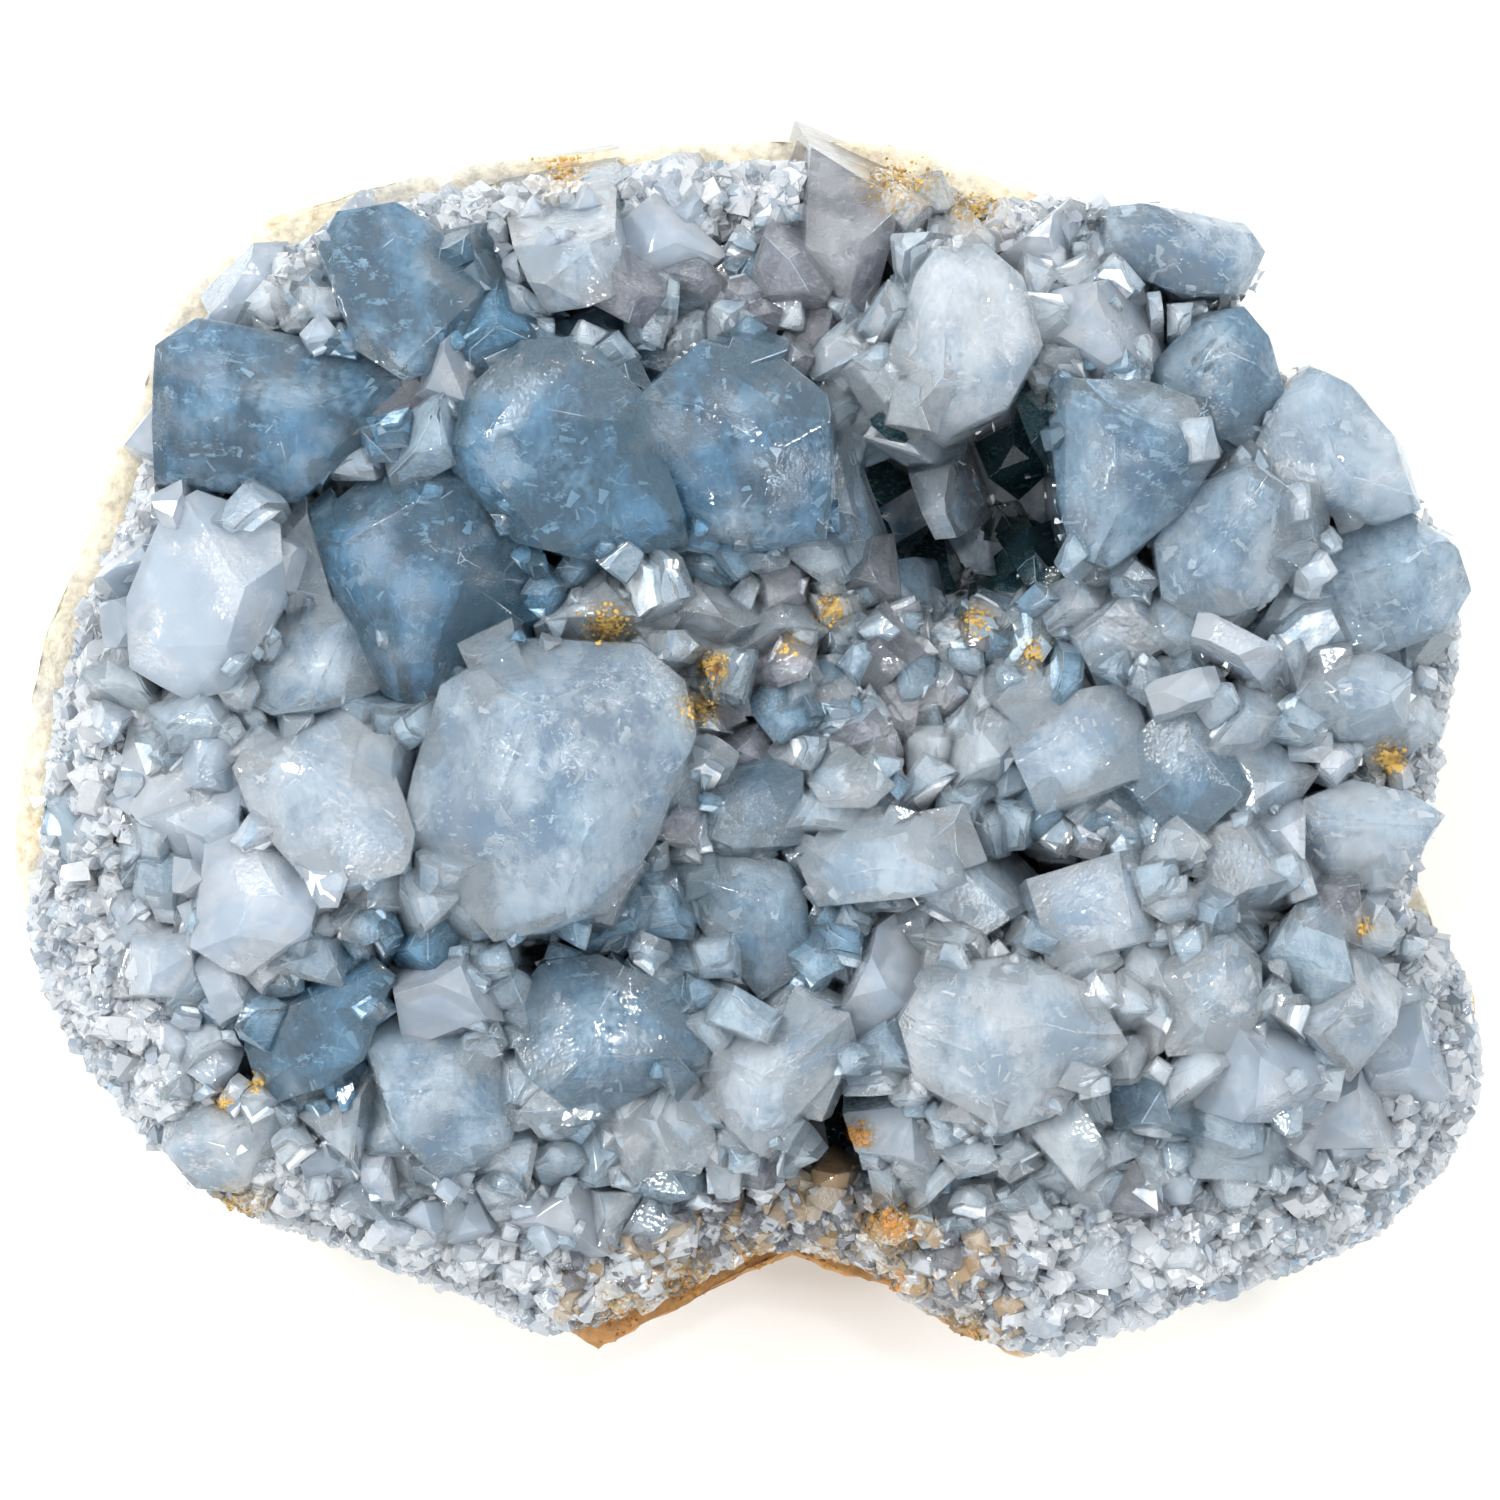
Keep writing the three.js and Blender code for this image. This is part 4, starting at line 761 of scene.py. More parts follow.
def bruised():
    """Celestite where an edge or corner is knocked: crushed to a pale, frosty glitter. On the worn edge strips this
    pale colour is painted edge highlight as well.
    """
    material, tree, place = new_material("bruised_celestite")
    crushed = add_node(
        tree, "ShaderNodeTexNoise", {"Scale": 1 / (0.4 * MM), "Detail": 1}, {"Vector": place},
    ).outputs["Fac"]
    colour = add_node(
        tree, "ShaderNodeMix",
        {"data_type": "RGBA", 6: (*linear("#86A5BD"), 1), 7: (*linear("#D2E0EB"), 1)}, {0: crushed},
    ).outputs[2]
    bump = add_node(
        tree, "ShaderNodeBump", {"Strength": 1, "Distance": 0.06 * MM}, {"Height": crushed},
    ).outputs[0]
    shader = add_node(
        tree, "ShaderNodeBsdfPrincipled", {"Roughness": 0.2, "IOR": 1.62, "Transmission Weight": 0.5},
        {"Base Color": colour, "Normal": bump},
    )
    add_node(tree, "ShaderNodeOutputMaterial", None, {"Surface": shader.outputs[0]})
    return material


def healed():
    """The inside of a healed crack in celestite: a film of tiny bubbles, white and glossy."""
    material, tree, place = new_material("healed_celestite")
    shader = add_node(
        tree, "ShaderNodeBsdfPrincipled",
        {"Base Color": (*linear("#F6F9FB"), 1), "Roughness": 0.25, "IOR": 1.62},
    )
    add_node(tree, "ShaderNodeOutputMaterial", None, {"Surface": shader.outputs[0]})
    return material


def cloudy(finish, small=False):
    """The cloudy core of a crystal, seen through its clear outside: wisps of milk and white cracks."""
    low, high = (linear(code) for code in FINISHES[finish][-2:])
    scale = 0.24 if small else 1
    if small:
        low, high = ([min(a + (b - a) * share, 0.96) for a, b in zip(low, high)] for share in (0.55, 1.3))
    material, tree, place = new_material(f"small_cloudy_celestite_{finish}" if small else f"cloudy_celestite_{finish}")

    def add(kind, settings=None, links=None, out=0):
        return add_node(tree, kind, settings, links).outputs[out]

    def part(value, low, high, end=1):
        return add("ShaderNodeMapRange", {"From Min": low, "From Max": high, "To Max": end}, {"Value": value})

    def noise_of(size, detail, roughness, stretch):
        bent = add("ShaderNodeVectorMath", {"operation": "MULTIPLY", 1: stretch}, {0: place})
        return add("ShaderNodeTexNoise",
                   {"Scale": 1 / (size * scale * MM), "Detail": detail, "Roughness": roughness},
                   {"Vector": bent})

    wispy = part(noise_of(5, 5, 0.7, (1, 0.6, 0.8)), 0.42, 0.60)
    bright = part(noise_of(1.0, 4, 0.8, (0.5, 1, 0.7)), *((0.52, 0.62) if small else (0.57, 0.65)))
    middle = add("ShaderNodeMath", {"operation": "SUBTRACT", 1: 0.5}, {0: noise_of(2.4, 2, 0.6, (1, 0.4, 0.6))})
    middle = add("ShaderNodeMath", {"operation": "ABSOLUTE"}, {0: middle})
    vein = add("ShaderNodeMath", {"operation": "MULTIPLY"}, {0: part(middle, 0.008, 0.0), 1: wispy})
    bright = add("ShaderNodeMath", {"operation": "MAXIMUM"}, {0: bright, 1: vein})
    frost = add("ShaderNodeAttribute", {"attribute_name": "frost"}, out="Fac")
    sugar = part(noise_of(0.7, 1, 0.5, (1, 1, 1)), 0.3, 0.7)
    sugary = add("ShaderNodeMath", {"operation": "MULTIPLY"}, {0: frost, 1: sugar})
    bright = add("ShaderNodeMath", {"operation": "MAXIMUM"}, {0: bright, 1: sugary})
    colour = add("ShaderNodeMix", {"data_type": "RGBA", 6: (*low, 1), 7: (*high, 1)}, {0: wispy}, 2)
    colour = add("ShaderNodeMix", {"data_type": "RGBA", 7: (*linear("#F2F6FA"), 1)}, {0: bright, 6: colour}, 2)
    surface = add("ShaderNodeBsdfPrincipled", {"Roughness": 0.5, "IOR": 1.3}, {"Base Color": colour})
    add_node(tree, "ShaderNodeOutputMaterial", None, {"Surface": surface})
    return material


def rock_finish():
    """Marly limestone of a geode wall, weathered outside: matt, grainy, cream with rusty brown patches."""
    colours = bpy.context.scene.celestite_colours
    material, tree, place = new_material("weathered_limestone")
    patches = add_node(
        tree, "ShaderNodeTexNoise", {"Scale": 1 / (11 * MM), "Detail": 6, "Roughness": 0.65},
        {"Vector": place},
    ).outputs["Fac"]
    grit = add_node(
        tree, "ShaderNodeTexNoise", {"Scale": 1 / (0.9 * MM), "Detail": 5, "Roughness": 0.7},
        {"Vector": place},
    ).outputs["Fac"]
    ramp = add_node(tree, "ShaderNodeValToRGB", None, {"Fac": patches})
    ramp.color_ramp.elements[0].position = 0.36
    ramp.color_ramp.elements[0].color = (*colours.rock_grey, 1)
    ramp.color_ramp.elements[1].position = 0.70
    ramp.color_ramp.elements[1].color = (*colours.rust, 1)
    middle = ramp.color_ramp.elements.new(0.56)
    middle.color = (*colours.rock_cream, 1)
    arch = add_node(
        tree, "ShaderNodeVectorMath", {"operation": "DISTANCE", 1: (2 * MM, -40 * MM, 14 * MM)}, {0: place},
    ).outputs["Value"]
    rusty = add_node(
        tree, "ShaderNodeMapRange", {"From Min": 20 * MM, "From Max": 13 * MM, "To Min": 0, "To Max": 0.9},
        {"Value": arch},
    ).outputs[0]
    base = add_node(
        tree, "ShaderNodeMix", {"data_type": "RGBA", 7: (*colours.rust, 1)},
        {0: rusty, 6: ramp.outputs["Color"]},
    ).outputs[2]
    dark = add_node(
        tree, "ShaderNodeMapRange", {"From Min": 0.3, "From Max": 0.62, "To Min": 0.62, "To Max": 1.12},
        {"Value": grit},
    ).outputs[0]
    toned = add_node(
        tree, "ShaderNodeVectorMath", {"operation": "SCALE"}, {0: base, "Scale": dark},
    ).outputs[0]
    bump = add_node(
        tree, "ShaderNodeBump", {"Strength": 0.8, "Distance": 0.3 * MM}, {"Height": grit},
    ).outputs[0]
    shader = add_node(
        tree, "ShaderNodeBsdfPrincipled", {"Roughness": 0.88, "IOR": 1.5},
        {"Base Color": toned, "Normal": bump},
    )
    add_node(tree, "ShaderNodeOutputMaterial", None, {"Surface": shader.outputs[0]})
    return material


def oxide_finish(name, light, dark):
    """Limonite, an earthy iron oxide that seeped in: dull, powdery, yellow ochre to rust brown."""
    material, tree, place = new_material(name)
    mottle = add_node(
        tree, "ShaderNodeTexNoise", {"Scale": 1 / (0.8 * MM), "Detail": 4}, {"Vector": place},
    ).outputs["Fac"]
    mix = add_node(
        tree, "ShaderNodeMapRange", {"From Min": 0.48, "From Max": 0.7, "To Min": 0, "To Max": 1},
        {"Value": mottle},
    ).outputs[0]
    colour = add_node(
        tree, "ShaderNodeMix", {"data_type": "RGBA", 6: (*light, 1), 7: (*dark, 1)}, {0: mix},
    ).outputs[2]
    bump = add_node(
        tree, "ShaderNodeBump", {"Strength": 0.7, "Distance": 0.15 * MM}, {"Height": mottle},
    ).outputs[0]
    shader = add_node(
        tree, "ShaderNodeBsdfPrincipled", {"Roughness": 0.7}, {"Base Color": colour, "Normal": bump},
    )
    add_node(tree, "ShaderNodeOutputMaterial", None, {"Surface": shader.outputs[0]})
    return material


# What a user would change

class CelestiteSizes(bpy.types.PropertyGroup):
    edge: bpy.props.FloatProperty(
        name="Edge width", description="Width of the worn edge between two crystal faces",
        default=0.045 * MM, unit="LENGTH", precision=5, min=0,
    )
    chip: bpy.props.FloatProperty(
        name="Chip depth", description="How deep a corner is chipped at most",
        default=0.75 * MM, unit="LENGTH", precision=5, min=0,
    )
    waves: bpy.props.FloatProperty(
        name="Waviness", description="How far the face of a large crystal strays from flat",
        default=0.06 * MM, unit="LENGTH", precision=5, min=0,
    )
    flecks: bpy.props.IntProperty(
        name="Flecks", description="How many healed cracks glint inside a large crystal at most", default=380,
        min=0, max=400,
    )
    facets: bpy.props.IntProperty(
        name="Facets", description="How many shallow facets are shaved off a large crystal",
        default=14, min=0, max=80,
    )
    grain: bpy.props.FloatProperty(
        name="Druse grain", description="Width of the largest grains of the druse along the rim",
        default=1.7 * MM, unit="LENGTH", precision=5, min=0,
    )
    druse: bpy.props.IntProperty(
        name="Druse", description="How many grains of druse are strewn", default=7600, min=0, max=12000,
    )
    middling: bpy.props.IntProperty(
        name="Middling crystals", description="How many middling crystals fill the gaps", default=1250,
        min=0, max=1500,
    )
    flank: bpy.props.IntProperty(
        name="Flank crystals", description="How many small crystals stick out of the flanks of large ones",
        default=420, min=0, max=1000,
    )


class CelestiteColours(bpy.types.PropertyGroup):
    rock_cream: bpy.props.FloatVectorProperty(
        name="Rock, cream", description="Weathered limestone where it is clean",
        default=linear("#EFE2C6"), subtype="COLOR", size=3, min=0, max=1,
    )
    rock_grey: bpy.props.FloatVectorProperty(
        name="Rock, grey", description="Limestone where it is fresh",
        default=linear("#DDD8CC"), subtype="COLOR", size=3, min=0, max=1,
    )
    rust: bpy.props.FloatVectorProperty(
        name="Rust", description="Iron oxide on the rock",
        default=linear("#BE8644"), subtype="COLOR", size=3, min=0, max=1,
    )
    brown: bpy.props.FloatVectorProperty(
        name="Rust, dark", description="Iron oxide where it is thickest",
        default=linear("#6E4620"), subtype="COLOR", size=3, min=0, max=1,
    )
    ochre: bpy.props.FloatVectorProperty(
        name="Ochre", description="Yellow iron oxide between the crystals",
        default=linear("#CBA75A"), subtype="COLOR", size=3, min=0, max=1,
    )
    floor: bpy.props.FloatVectorProperty(
        name="Floor", description="The plain floor", default=linear("#F6F6F4"), subtype="COLOR",
        size=3, min=0, max=1,
    )


# The pieces

class CELESTITE_OT_wall(bpy.types.Operator):
    """Makes the rock of the geode wall: lumpy and grainy where it is broken, flat where it rests"""
    bl_idname = "celestite.wall"
    bl_label = "Geode wall"

    def execute(self, context):
        bm = bmesh.new()
        bm.from_mesh(frame["nodes"]["rock_matrix"].data)
        bmesh.ops.remove_doubles(bm, verts=bm.verts[:], dist=0.01 * MM)
        bm.normal_update()
        for _ in range(3):
            long = [e for e in bm.edges if e.calc_length() > 1.6 * MM]
            bmesh.ops.subdivide_edges(bm, edges=long, cuts=1, use_grid_fill=True)
            bmesh.ops.triangulate(bm, faces=bm.faces[:])
        rest = [v for v in bm.verts if v.co.z < 0.02 * MM]
        free = set(bm.verts) - set(rest)
        for _ in range(2):
            bmesh.ops.smooth_vert(bm, verts=list(free), factor=0.5, use_axis_x=True, use_axis_y=True, use_axis_z=True)
        bm.normal_update()
        for vert in free:
            angle = math.atan2(vert.co.y, vert.co.x)
            broken = 1 - 0.65 * whole_rind(angle)
            lump = noise.fractal(vert.co / (3.2 * MM), 0.8, 2.1, 4) * 0.55 * broken
            lump += noise.noise(vert.co / (9 * MM)) * 0.5
            lift = smoothstep(vert.co.z / MM, 0.0, 2.5)
            vert.co += vert.normal * lump * lift * MM
        for f in bm.faces:
            f.smooth = True
        finished("wall_rock", bm, [rock_finish()], "rock_matrix")
        return {"FINISHED"}


class CELESTITE_OT_crystals(bpy.types.Operator):
    """Grows the large and the small crystals, one piece for each finish of the celestite"""
    bl_idname = "celestite.crystals"
    bl_label = "Crystals"

    def execute(self, context):
        sizes = context.scene.celestite_sizes
        rng = random.Random(11)
        piles, cores, flecks = {}, {}, new_pile()
        for number, record in enumerate(LARGE_CRYSTALS):
            finish, top, rise, tilt, toward, outline = record
            bm = large_crystal(record, number)
            core = core_of(bm, 0.9, 0.9, 12, number)
            add_to(flecks, flecks_on(core, sizes.flecks, 1.2, rng), 0)
            add_to(cores.setdefault(finish, new_pile()), core, 0)
            worn(bm, sizes.facets, sizes.chip / MM, sizes.edge / MM, 100 + number)
            uneven(bm, 1.1, sizes.waves / MM)
            add_to(piles.setdefault(finish, new_pile()), bm, scatter(700 + number))
            for growth in range(6):
                self.shoulder(piles[finish], record, number, growth)
        for number, (finish, *place) in enumerate(SMALL_CRYSTALS):
            bm = small_crystal(*place, seed=2000 + number * 23)
            core = core_of(bm, 0.84, 0.88, 8, number)
            add_to(flecks, flecks_on(core, sizes.flecks // 4, 0.8, rng), 0)
            add_to(cores.setdefault(finish, new_pile()), core, 0)
            worn(bm, sizes.facets // 2, sizes.chip * 0.5 / MM, sizes.edge * 0.8 / MM, 300 + number)
            uneven(bm, 1.3, sizes.waves * 0.6 / MM)
            add_to(piles.setdefault(finish, new_pile()), bm, scatter(900 + number))
        bruised_and_highlit_look = bruised()
        for finish in FINISHES:
            celestite(finish)
            celestite(finish, small=True)
            cloudy(finish)
            cloudy(finish, small=True)
        finished("healed_cracks", flecks, [healed()])
        for finish, pile in cores.items():
            finished(f"cores_{finish}", pile, [bpy.data.materials[f"cloudy_celestite_{finish}"]])
        for finish, pile in piles.items():
            finished(f"crystals_{finish}", pile, [bpy.data.materials[f"celestite_{finish}"], bruised_and_highlit_look],
                     "celestite_crystals" if finish == "mid" else None)
        return {"FINISHED"}

    def shoulder(self, pile, record, number, growth):
        """A smaller crystal that grew out of the edge of a large one."""
        finish, top, rise, tilt, toward, outline = record
        seed = 5000 + number * 17 + growth * 5
        side = int(scatter(seed) * len(outline))
        (x, y), (nx, ny) = outline[side], outline[(side + 1) % len(outline)]
        along = between(0.15, 0.85, seed + 1)
        if share_of(x, y)[0] > 0.9:
            return
        width = 4.2 * between(0.35, 1.2, seed + 2)
        outward = math.degrees(math.atan2(x - nx, ny - y))
        bm = small_crystal(
            x + (nx - x) * along, y + (ny - y) * along, top - rise * between(0.5, 1.4, seed + 3),
            width, width * between(0.6, 1, seed + 4), outward + between(-30, 30, seed),
            between(4, 24, seed + 6), outward + between(-40, 40, seed + 7), 0.3, seed=9000 + seed * 3,
            length=9,
        )
        worn(bm, 10, 0.35, 0.05, seed)
        add_to(pile, bm, scatter(seed + 9))


def tree_of(*starts):
    """The surfaces of the pieces whose names start so, to drop things on."""
    ground = bmesh.new()
    for piece in bpy.data.objects:
        if piece.name.startswith(starts):
            ground.from_mesh(piece.data)
    tree = BVHTree.FromBMesh(ground)
    ground.free()
    return tree


def drop(tree, x, y):
    """(place, normal) where a plumb line at x and y in millimetres meets the surface, or two Nones."""
    return tree.ray_cast(Vector((x, y, 60)) * MM, Vector((0, 0, -1)))[:2]


class CELESTITE_OT_druse(bpy.types.Operator):
    """Lays the milky crust and strews the middling crystals and the sugary druse over it"""
    bl_idname = "celestite.druse"
    bl_label = "Crust and druse"

    def execute(self, context):
        sizes = context.scene.celestite_sizes
        self.crust()
        rng = random.Random(41)
        large, surface = tree_of("crystals_"), tree_of("crystals_", "milky_")
        piles = {}
        self.fill_gaps(piles, rng, surface, sizes.middling)
        self.fill_flanks(piles, rng, large, sizes.flank)
        looks = bpy.data.materials
        for (stem, finish), pile in piles.items():
            if stem == "cores":
                finished(f"middling_cores_{finish}", pile, [looks[f"small_cloudy_celestite_{finish}"]])
            else:
                finished(f"middling_{finish}", pile,
                         [looks[f"small_celestite_{finish}"], looks["bruised_celestite"]])
        self.strew(large, tree_of("crystals_", "milky_", "middling_"), sizes)
        return {"FINISHED"}

    def crust(self):
        bm = bmesh.new()
        profile = [bm.verts.new((share, 0, 0)) for share in
                   [0.0, 0.08, 0.16, 0.24, 0.32, 0.4, 0.48, 0.55, 0.62, 0.69, 0.75, 0.8, 0.85, 0.9, 0.94, 0.97, 1.0]]
        edges = [bm.edges.new(pair) for pair in zip(profile, profile[1:])]
        lip = bm.verts.new((1.0, 0, -1))
        edges.append(bm.edges.new((profile[-1], lip)))
        floor = bm.verts.new((0, 0, -1))
        edges.append(bm.edges.new((lip, floor)))
        bmesh.ops.spin(
            bm, geom=profile + [lip, floor] + edges, cent=(0, 0, 0), axis=(0, 0, 1), angle=TAU,
            steps=160, use_merge=True,
        )
        bmesh.ops.remove_doubles(bm, verts=bm.verts[:], dist=1e-6)
        for vert in bm.verts:
            share, angle = math.hypot(vert.co.x, vert.co.y), math.atan2(vert.co.y, vert.co.x)
            share *= crust_edge(angle)
            radius = share * outline_radius(angle)
            x, y = radius * math.cos(angle), radius * math.sin(angle)
            if vert.co.z < -0.5:
                z = seam_height(share, angle) + SEAM / 2
            else:
                lumps = noise.fractal(Vector((x, y, 3)) / 4.2, 0.9, 2.1, 4) * 1.1 + 0.5
                z = max(crust_top(x, y) + lumps, seam_height(share, angle) + 0.7)
            vert.co = Vector((x, y, z)) * MM
        pile = new_pile()
        add_to(pile, bm, 0.3)
        # In the hollows the crust takes the dark teal look: painted shade where it lies deep.
        for f in pile.faces:
            spot = f.calc_center_median() / MM
            if any(math.hypot(spot.x - hx, spot.y - hy) < r for hx, hy, r in HOLLOWS):
                f.material_index = 1
        looks = [bpy.data.materials[f"cloudy_celestite_{tone}"] for tone in ("clear", "teal")]
        finished("milky_crust", pile, looks)

    def seat(self, piles, rng, finish, place, width, lean, toward, length):
        """Adds one middling crystal to the pile of its finish."""
        bm = small_crystal(
            *place, width, width * rng.uniform(0.5, 1), rng.uniform(0, 180), lean, toward,
            rng.uniform(0.05, 0.4), seed=rng.randrange(100000), length=length,
        )
        core = core_of(bm, 0.82, 0.92, 0, 0, wispy=False)
        add_to(piles.setdefault(("cores", finish), new_pile()), core, 0)
        worn(bm, 9 if width > 2 else 4, width * 0.16, 0.03, rng.random())
        add_to(piles.setdefault(("middling", finish), new_pile()), bm, rng.random())

    def fill_gaps(self, piles, rng, surface, count):
        """Middling crystals wherever no large face lies on top, their tips a little below it."""
        placed = []
        for _ in range(count * 12):
            x, y = rng.uniform(-49, 49), rng.uniform(-41, 41)
            share, angle = share_of(x, y)
            if share > crust_edge(angle) - 0.04:
                continue
            crust = crust_top(x, y)
            hit = drop(surface, x, y)[0]
            if hit is None or hit.z / MM > crust + 5.5:
                continue
            outer = smoothstep(share, 0.7, 1)
            width = (2.2 + 5.0 * rng.random() ** 1.4) * (1 - 0.4 * outer)
            if any(math.hypot(x - px, y - py) < (width + pw) * 0.2 for px, py, pw in placed):
                continue
            around = [drop(surface, x + 4.5 * math.cos(a), y + 4.5 * math.sin(a))[0]
                      for a in (step / 6 * TAU for step in range(6))]
            level = sum(near.z / MM if near else crust for near in around) / 6
            sunk = any(math.hypot(x - hx, y - hy) < r * 1.1 for hx, hy, r in HOLLOWS)
            top = crust + rng.uniform(1.2, 3.2)
            if not sunk:
                top += max(level - crust, 0) * rng.uniform(0.65, 1.0)
            toward = math.degrees(angle) + rng.uniform(-180, 180) * (1 - 0.6 * outer)
            self.seat(piles, rng, self.tone(rng, x, y, share, angle, sunk), (x, y, top), width,
                      rng.uniform(6, 34) * (1 - 0.4 * outer), toward, top - crust + 4 - 2.8 * outer)
            placed.append((x, y, width))
            if len(placed) == count:
                break

    def fill_flanks(self, piles, rng, large, count):
        """Smaller crystals that stick out of the flanks of the large ones, of the same finish."""
        made = 0
        for _ in range(count * 20):
            x, y = rng.uniform(-48, 48), rng.uniform(-40, 40)
            hit, normal = drop(large, x, y)
            if hit is None or normal.z > 0.6 or math.hypot(x - 14.6, y - 17.6) < 7:
                continue
            share, angle = share_of(x, y)
            if share > 0.94:
                continue
            width = rng.uniform(0.9, 3.0)
            toward = math.degrees(math.atan2(normal.y, normal.x)) + rng.uniform(-40, 40)
            place = hit / MM + normal * width * 0.1 + Vector((0, 0, rng.uniform(0.1, 0.5) * width))
            self.seat(piles, rng, self.tone(rng, x, y, share, angle, False), tuple(place), width,
                      rng.uniform(4, 30), toward, width * 1.8)
            made += 1
            if made == count:
                break

    def tone(self, rng, x, y, share, angle, sunk):
        """The finish of a middling crystal: like its large neighbour's, or as its place asks for."""
        # By the pocket a crystal takes the dark teal finish: painted shade of the recess.
        if math.hypot(x - 14.6, y - 17.6) < 8:
            return "teal"
        # In a hollow a crystal takes one of the darker finishes: painted shade of the recess.
        if sunk:
            return rng.choice(["smoky", "deep", "mid"])
        if share > 0.8:
            near_arch = -12 < x < 18 and y < -26
            return rng.choice(["amber", "smoky", "clear"] if near_arch else ["frosted", "white", "clear", "pale"])
        if -8 < x < 22 and -8 < y < 12 or y > 24 and -10 < x < 16:
            return rng.choice(["smoky", "pale", "mid", "clear", "soft"])
        beside = min(LARGE_CRYSTALS, key=lambda c: math.hypot(
            x - sum(px for px, _ in c[-1]) / len(c[-1]), y - sum(py for _, py in c[-1]) / len(c[-1])))
        return rng.choice([beside[0], beside[0], beside[0], beside[0], "soft", "pale"])

    def strew(self, large, surface, sizes):
        """The sugary druse: grains along the rim and in the gaps, a few dozen faces each."""
        rng = random.Random(7)
        shapes = []
        for number in range(14):
            pile = new_pile()
            add_to(pile, small_crystal(
                0, 0, 0, 1, between(0.6, 1, number), 0, 0, 0, between(0.1, 0.4, number + 5),
                seed=60000 + number * 31, length=1.1), 0)
            mesh = bpy.data.meshes.new("grain")
            pile.to_mesh(mesh)
            pile.free()
            shapes.append(mesh)
        piles = {}
        made = 0
        for _ in range(sizes.druse * 6):
            angle = rng.uniform(0, TAU)
            inner, side = rng.random() < 0.3, rng.random() < 0.2
            band = 0.09 + 0.07 * (noise.noise(Vector((math.cos(angle), math.sin(angle), 4)) * 2.4) + 0.5)
            if 284 < math.degrees(angle) < 345:
                band += 0.07
            share = math.sqrt(rng.uniform(0.0, 0.8)) if inner else 1 if side else 1 - band * rng.random() ** 1.6
            share *= crust_edge(angle)
            radius = share * outline_radius(angle)
            x, y = radius * math.cos(angle), radius * math.sin(angle)
            hit, normal = drop(surface, x, y)
            below = drop(large, x, y)[0]
            if side and not inner:
                hit = Vector((x, y, seam_height(share, angle) + rng.uniform(0.2, 1.2))) * MM
                normal, below = Vector((math.cos(angle), math.sin(angle), 0)), None
            if hit is None or math.hypot(x - 14.6, y - 17.6) < 6:
                continue
            if hit.z / MM > crust_top(x, y) + (2.5 if inner else 5.0) or below and below.z > hit.z - 0.2 * MM:
                continue
            width = (0.35 + 0.65 * rng.random() ** 1.5) * sizes.grain / MM
            if inner:
                width *= 0.7
            outward = Vector((math.cos(angle), math.sin(angle), 0)) * smoothstep(share, 0.8, 1) * 0.9
            stray = Vector(rng.uniform(-0.7, 0.7) for _ in range(3))
            aim = (normal * 0.6 + Vector((0, 0, 0.8)) + outward + stray).normalized()
            place = (
                Matrix.Translation(hit + aim * width * 0.16 * MM)
                @ aim.to_track_quat("Z", "Y").to_matrix().to_4x4()
                @ Matrix.Rotation(rng.uniform(0, TAU), 4, "Z")
                @ Matrix.Diagonal((width, width, width * rng.uniform(0.8, 1.5), 1))
            )
            grain = rng.choice(shapes).copy()
            grain.transform(place)
            if -13 < x < 18 and y < -25 and not inner:
                finish = rng.choice(["smoky", "amber", "sugar", "sugar"])
            elif inner:
                finish = rng.choice(["pale", "clear", "sugar"])
            else:
                finish = rng.choice(["frosted", "sugar", "sugar", "sugar"])
            for name, value in zip(MASKS, (rng.random(), stain_at(hit), rng.random() ** 2)):
                grain.attributes[name].data.foreach_set("value", [value] * len(grain.vertices))
            if finish not in piles:
                piles[finish] = new_pile()
            piles[finish].from_mesh(grain)
            bpy.data.meshes.remove(grain)
            made += 1
            if made == sizes.druse:
                break
        for finish, pile in piles.items():
            finished(f"druse_{finish}", pile, [bpy.data.materials[f"small_celestite_{finish}"]])
        for mesh in shapes:
            bpy.data.meshes.remove(mesh)


class CELESTITE_OT_rust(bpy.types.Operator):
    """Puts crumbs of iron oxide where it seeped in between the crystals"""
    bl_idname = "celestite.rust"
    bl_label = "Iron oxide"

    def execute(self, context):
        colours = context.scene.celestite_colours
        surface = tree_of("crystals_", "middling_", "milky_", "druse_", "wall_")
        rng = random.Random(23)
        piles = {"ochre": bmesh.new(), "rust": bmesh.new()}
        crumb = bmesh.new()
        bmesh.ops.create_icosphere(crumb, subdivisions=1, radius=0.5 * MM)
        mesh = bpy.data.meshes.new("crumb")
        crumb.to_mesh(mesh)
        crumb.free()
        for x, y, spread, count, finish in RUST_SPOTS:
            for _ in range(round(count * 1.6)):
                px, py = rng.gauss(x, spread * 0.36), rng.gauss(y, spread * 0.3)
                hit, normal = drop(surface, px, py)
                if hit is None:
                    continue
                size = 0.1 + 0.34 * rng.random() ** 2
                grain = mesh.copy()
                grain.transform(
                    Matrix.Translation(hit)
                    @ normal.to_track_quat("Z", "Y").to_matrix().to_4x4()
                    @ Matrix.Rotation(rng.uniform(0, TAU), 4, "Z")
                    @ Matrix.Diagonal((size, size * rng.uniform(0.6, 1), size * rng.uniform(0.25, 0.5), 1))
                )
                piles[finish].from_mesh(grain)
                bpy.data.meshes.remove(grain)
        bpy.data.meshes.remove(mesh)
        for finish, light in (("ochre", colours.ochre), ("rust", colours.rust)):
            pile = piles[finish]
            for vert in pile.verts:
                vert.co += Vector(noise.noise_vector(vert.co / (0.3 * MM))) * 0.06 * MM
            finished(f"oxide_{finish}", pile, [oxide_finish(f"limonite_{finish}", light, colours.brown)])
        return {"FINISHED"}


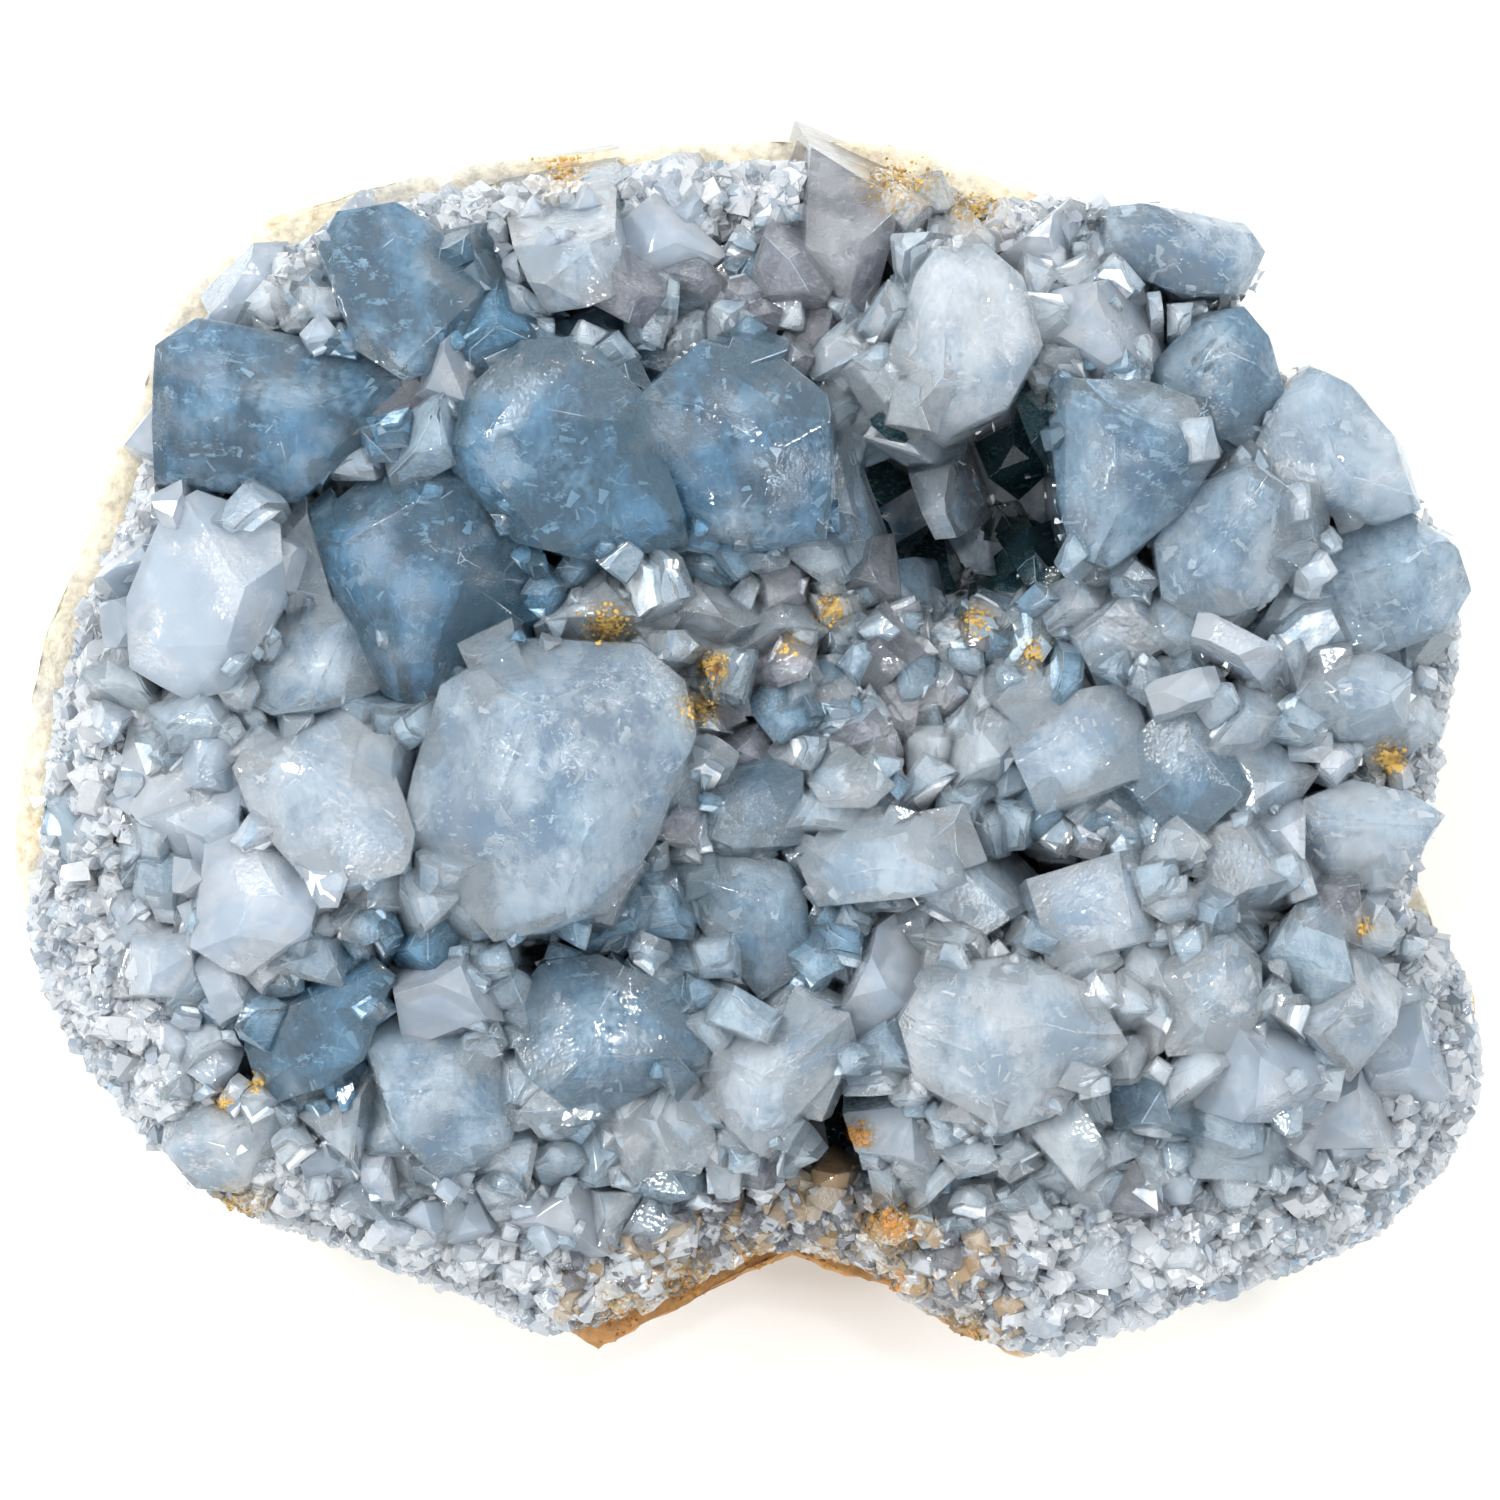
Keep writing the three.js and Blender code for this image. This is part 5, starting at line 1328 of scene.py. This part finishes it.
class CELESTITE_OT_stage(bpy.types.Operator):
    """Sets the pale floor, the soft studio light and the camera that looks straight down"""
    bl_idname = "celestite.stage"
    bl_label = "Stage"

    def execute(self, context):
        colours = context.scene.celestite_colours
        bm = bmesh.new()
        bmesh.ops.create_grid(bm, x_segments=1, y_segments=1, size=3)
        mesh = bpy.data.meshes.new("floor")
        bm.to_mesh(mesh)
        bm.free()
        material, tree, place = new_material("matt_paper")
        shader = add_node(
            tree, "ShaderNodeBsdfPrincipled", {"Base Color": (*colours.floor, 1), "Roughness": 0.9},
        )
        add_node(tree, "ShaderNodeOutputMaterial", None, {"Surface": shader.outputs[0]})
        mesh.materials.append(material)
        floor = bpy.data.objects.new("floor", mesh)
        context.collection.objects.link(floor)

        world = bpy.data.worlds.new("studio")
        context.scene.world = world
        world.use_nodes = True
        tree = world.node_tree
        tree.nodes.clear()
        way = add_node(tree, "ShaderNodeTexCoord").outputs["Generated"]
        toward = add_node(
            tree, "ShaderNodeVectorMath", {"operation": "DOT_PRODUCT", 1: (-0.45, 0.35, 0.82)}, {0: way},
        ).outputs["Value"]
        bright = add_node(
            tree, "ShaderNodeMapRange", {"From Min": -0.2, "From Max": 1.0, "To Min": 0.5, "To Max": 1.5},
            {"Value": toward},
        ).outputs[0]
        height = add_node(
            tree, "ShaderNodeVectorMath", {"operation": "DOT_PRODUCT", 1: (0, 0, 1)}, {0: way},
        ).outputs["Value"]
        dimmed = add_node(
            tree, "ShaderNodeMapRange", {"From Min": 0.98, "From Max": 0.8, "To Min": 0.3, "To Max": 1},
            {"Value": height},
        ).outputs[0]
        bright = add_node(tree, "ShaderNodeMath", {"operation": "MULTIPLY"}, {0: bright, 1: dimmed}).outputs[0]
        sky = add_node(
            tree, "ShaderNodeBackground", {"Color": (0.97, 0.985, 1.0, 1)}, {"Strength": bright},
        )
        add_node(tree, "ShaderNodeOutputWorld", None, {"Surface": sky.outputs[0]})

        for name, place, size, power, colour in (
            ("key", (-0.42, 0.34, 0.62), 0.2, 2.8, (1.0, 0.985, 0.96)),
            ("fill", (0.5, -0.1, 0.5), 0.35, 1.3, (0.95, 0.98, 1.0)),
            ("spark_high", (0.10, 0.16, 0.78), 0.06, 0.8, (1.0, 1.0, 1.0)),
            ("spark_left", (-0.55, -0.12, 0.46), 0.06, 0.8, (1.0, 1.0, 1.0)),
            ("spark_right", (0.42, 0.34, 0.42), 0.06, 0.8, (1.0, 1.0, 1.0)),
            ("spark_low", (-0.05, -0.55, 0.40), 0.06, 0.8, (1.0, 1.0, 1.0)),
            ("spark_back", (-0.20, 0.50, 0.55), 0.06, 0.8, (1.0, 1.0, 1.0)),
        ):
            lamp = bpy.data.lights.new(name, "AREA")
            lamp.shape = "DISK"
            lamp.size = size
            lamp.energy = power
            lamp.color = colour
            light = bpy.data.objects.new(name, lamp)
            light.location = place
            light.rotation_euler = (Vector((0, 0, 0.02)) - light.location).to_track_quat("-Z", "Y").to_euler()
            context.collection.objects.link(light)

        camera = bpy.data.cameras.new("camera")
        camera.lens = 250
        camera.clip_end = 10
        seen = bpy.data.objects.new("camera", camera)
        width = 1500 / 14.9 * MM
        seen.location = (0, 0, 22 * MM + camera.lens / camera.sensor_width * width)
        context.collection.objects.link(seen)
        context.scene.camera = seen
        context.scene.view_settings.view_transform = "Standard"
        cycles = context.scene.cycles
        cycles.max_bounces, cycles.diffuse_bounces, cycles.glossy_bounces = 6, 2, 2
        cycles.transmission_bounces = 6
        cycles.adaptive_threshold = 0.25
        return {"FINISHED"}


class CELESTITE_PT_panel(bpy.types.Panel):
    bl_idname = "CELESTITE_PT_panel"
    bl_label = "Celestite cluster"
    bl_space_type = "VIEW_3D"
    bl_region_type = "UI"
    bl_category = "Celestite"

    def draw(self, context):
        for group in (context.scene.celestite_sizes, context.scene.celestite_colours):
            for name in group.__annotations__:
                self.layout.prop(group, name)
        for operator in OPERATORS:
            self.layout.operator(operator.bl_idname)


OPERATORS = [
    CELESTITE_OT_stage, CELESTITE_OT_wall, CELESTITE_OT_crystals, CELESTITE_OT_druse, CELESTITE_OT_rust,
]
CLASSES = [CelestiteSizes, CelestiteColours, *OPERATORS, CELESTITE_PT_panel]


def register():
    for cls in CLASSES:
        bpy.utils.register_class(cls)
    bpy.types.Scene.celestite_sizes = bpy.props.PointerProperty(type=CelestiteSizes)
    bpy.types.Scene.celestite_colours = bpy.props.PointerProperty(type=CelestiteColours)


def unregister():
    del bpy.types.Scene.celestite_colours
    del bpy.types.Scene.celestite_sizes
    for cls in reversed(CLASSES):
        bpy.utils.unregister_class(cls)


def main():
    register()
    bpy.ops.celestite.stage()
    bpy.ops.celestite.wall()
    bpy.ops.celestite.crystals()
    bpy.ops.celestite.druse()
    bpy.ops.celestite.rust()


if __name__ == "__main__":
    main()
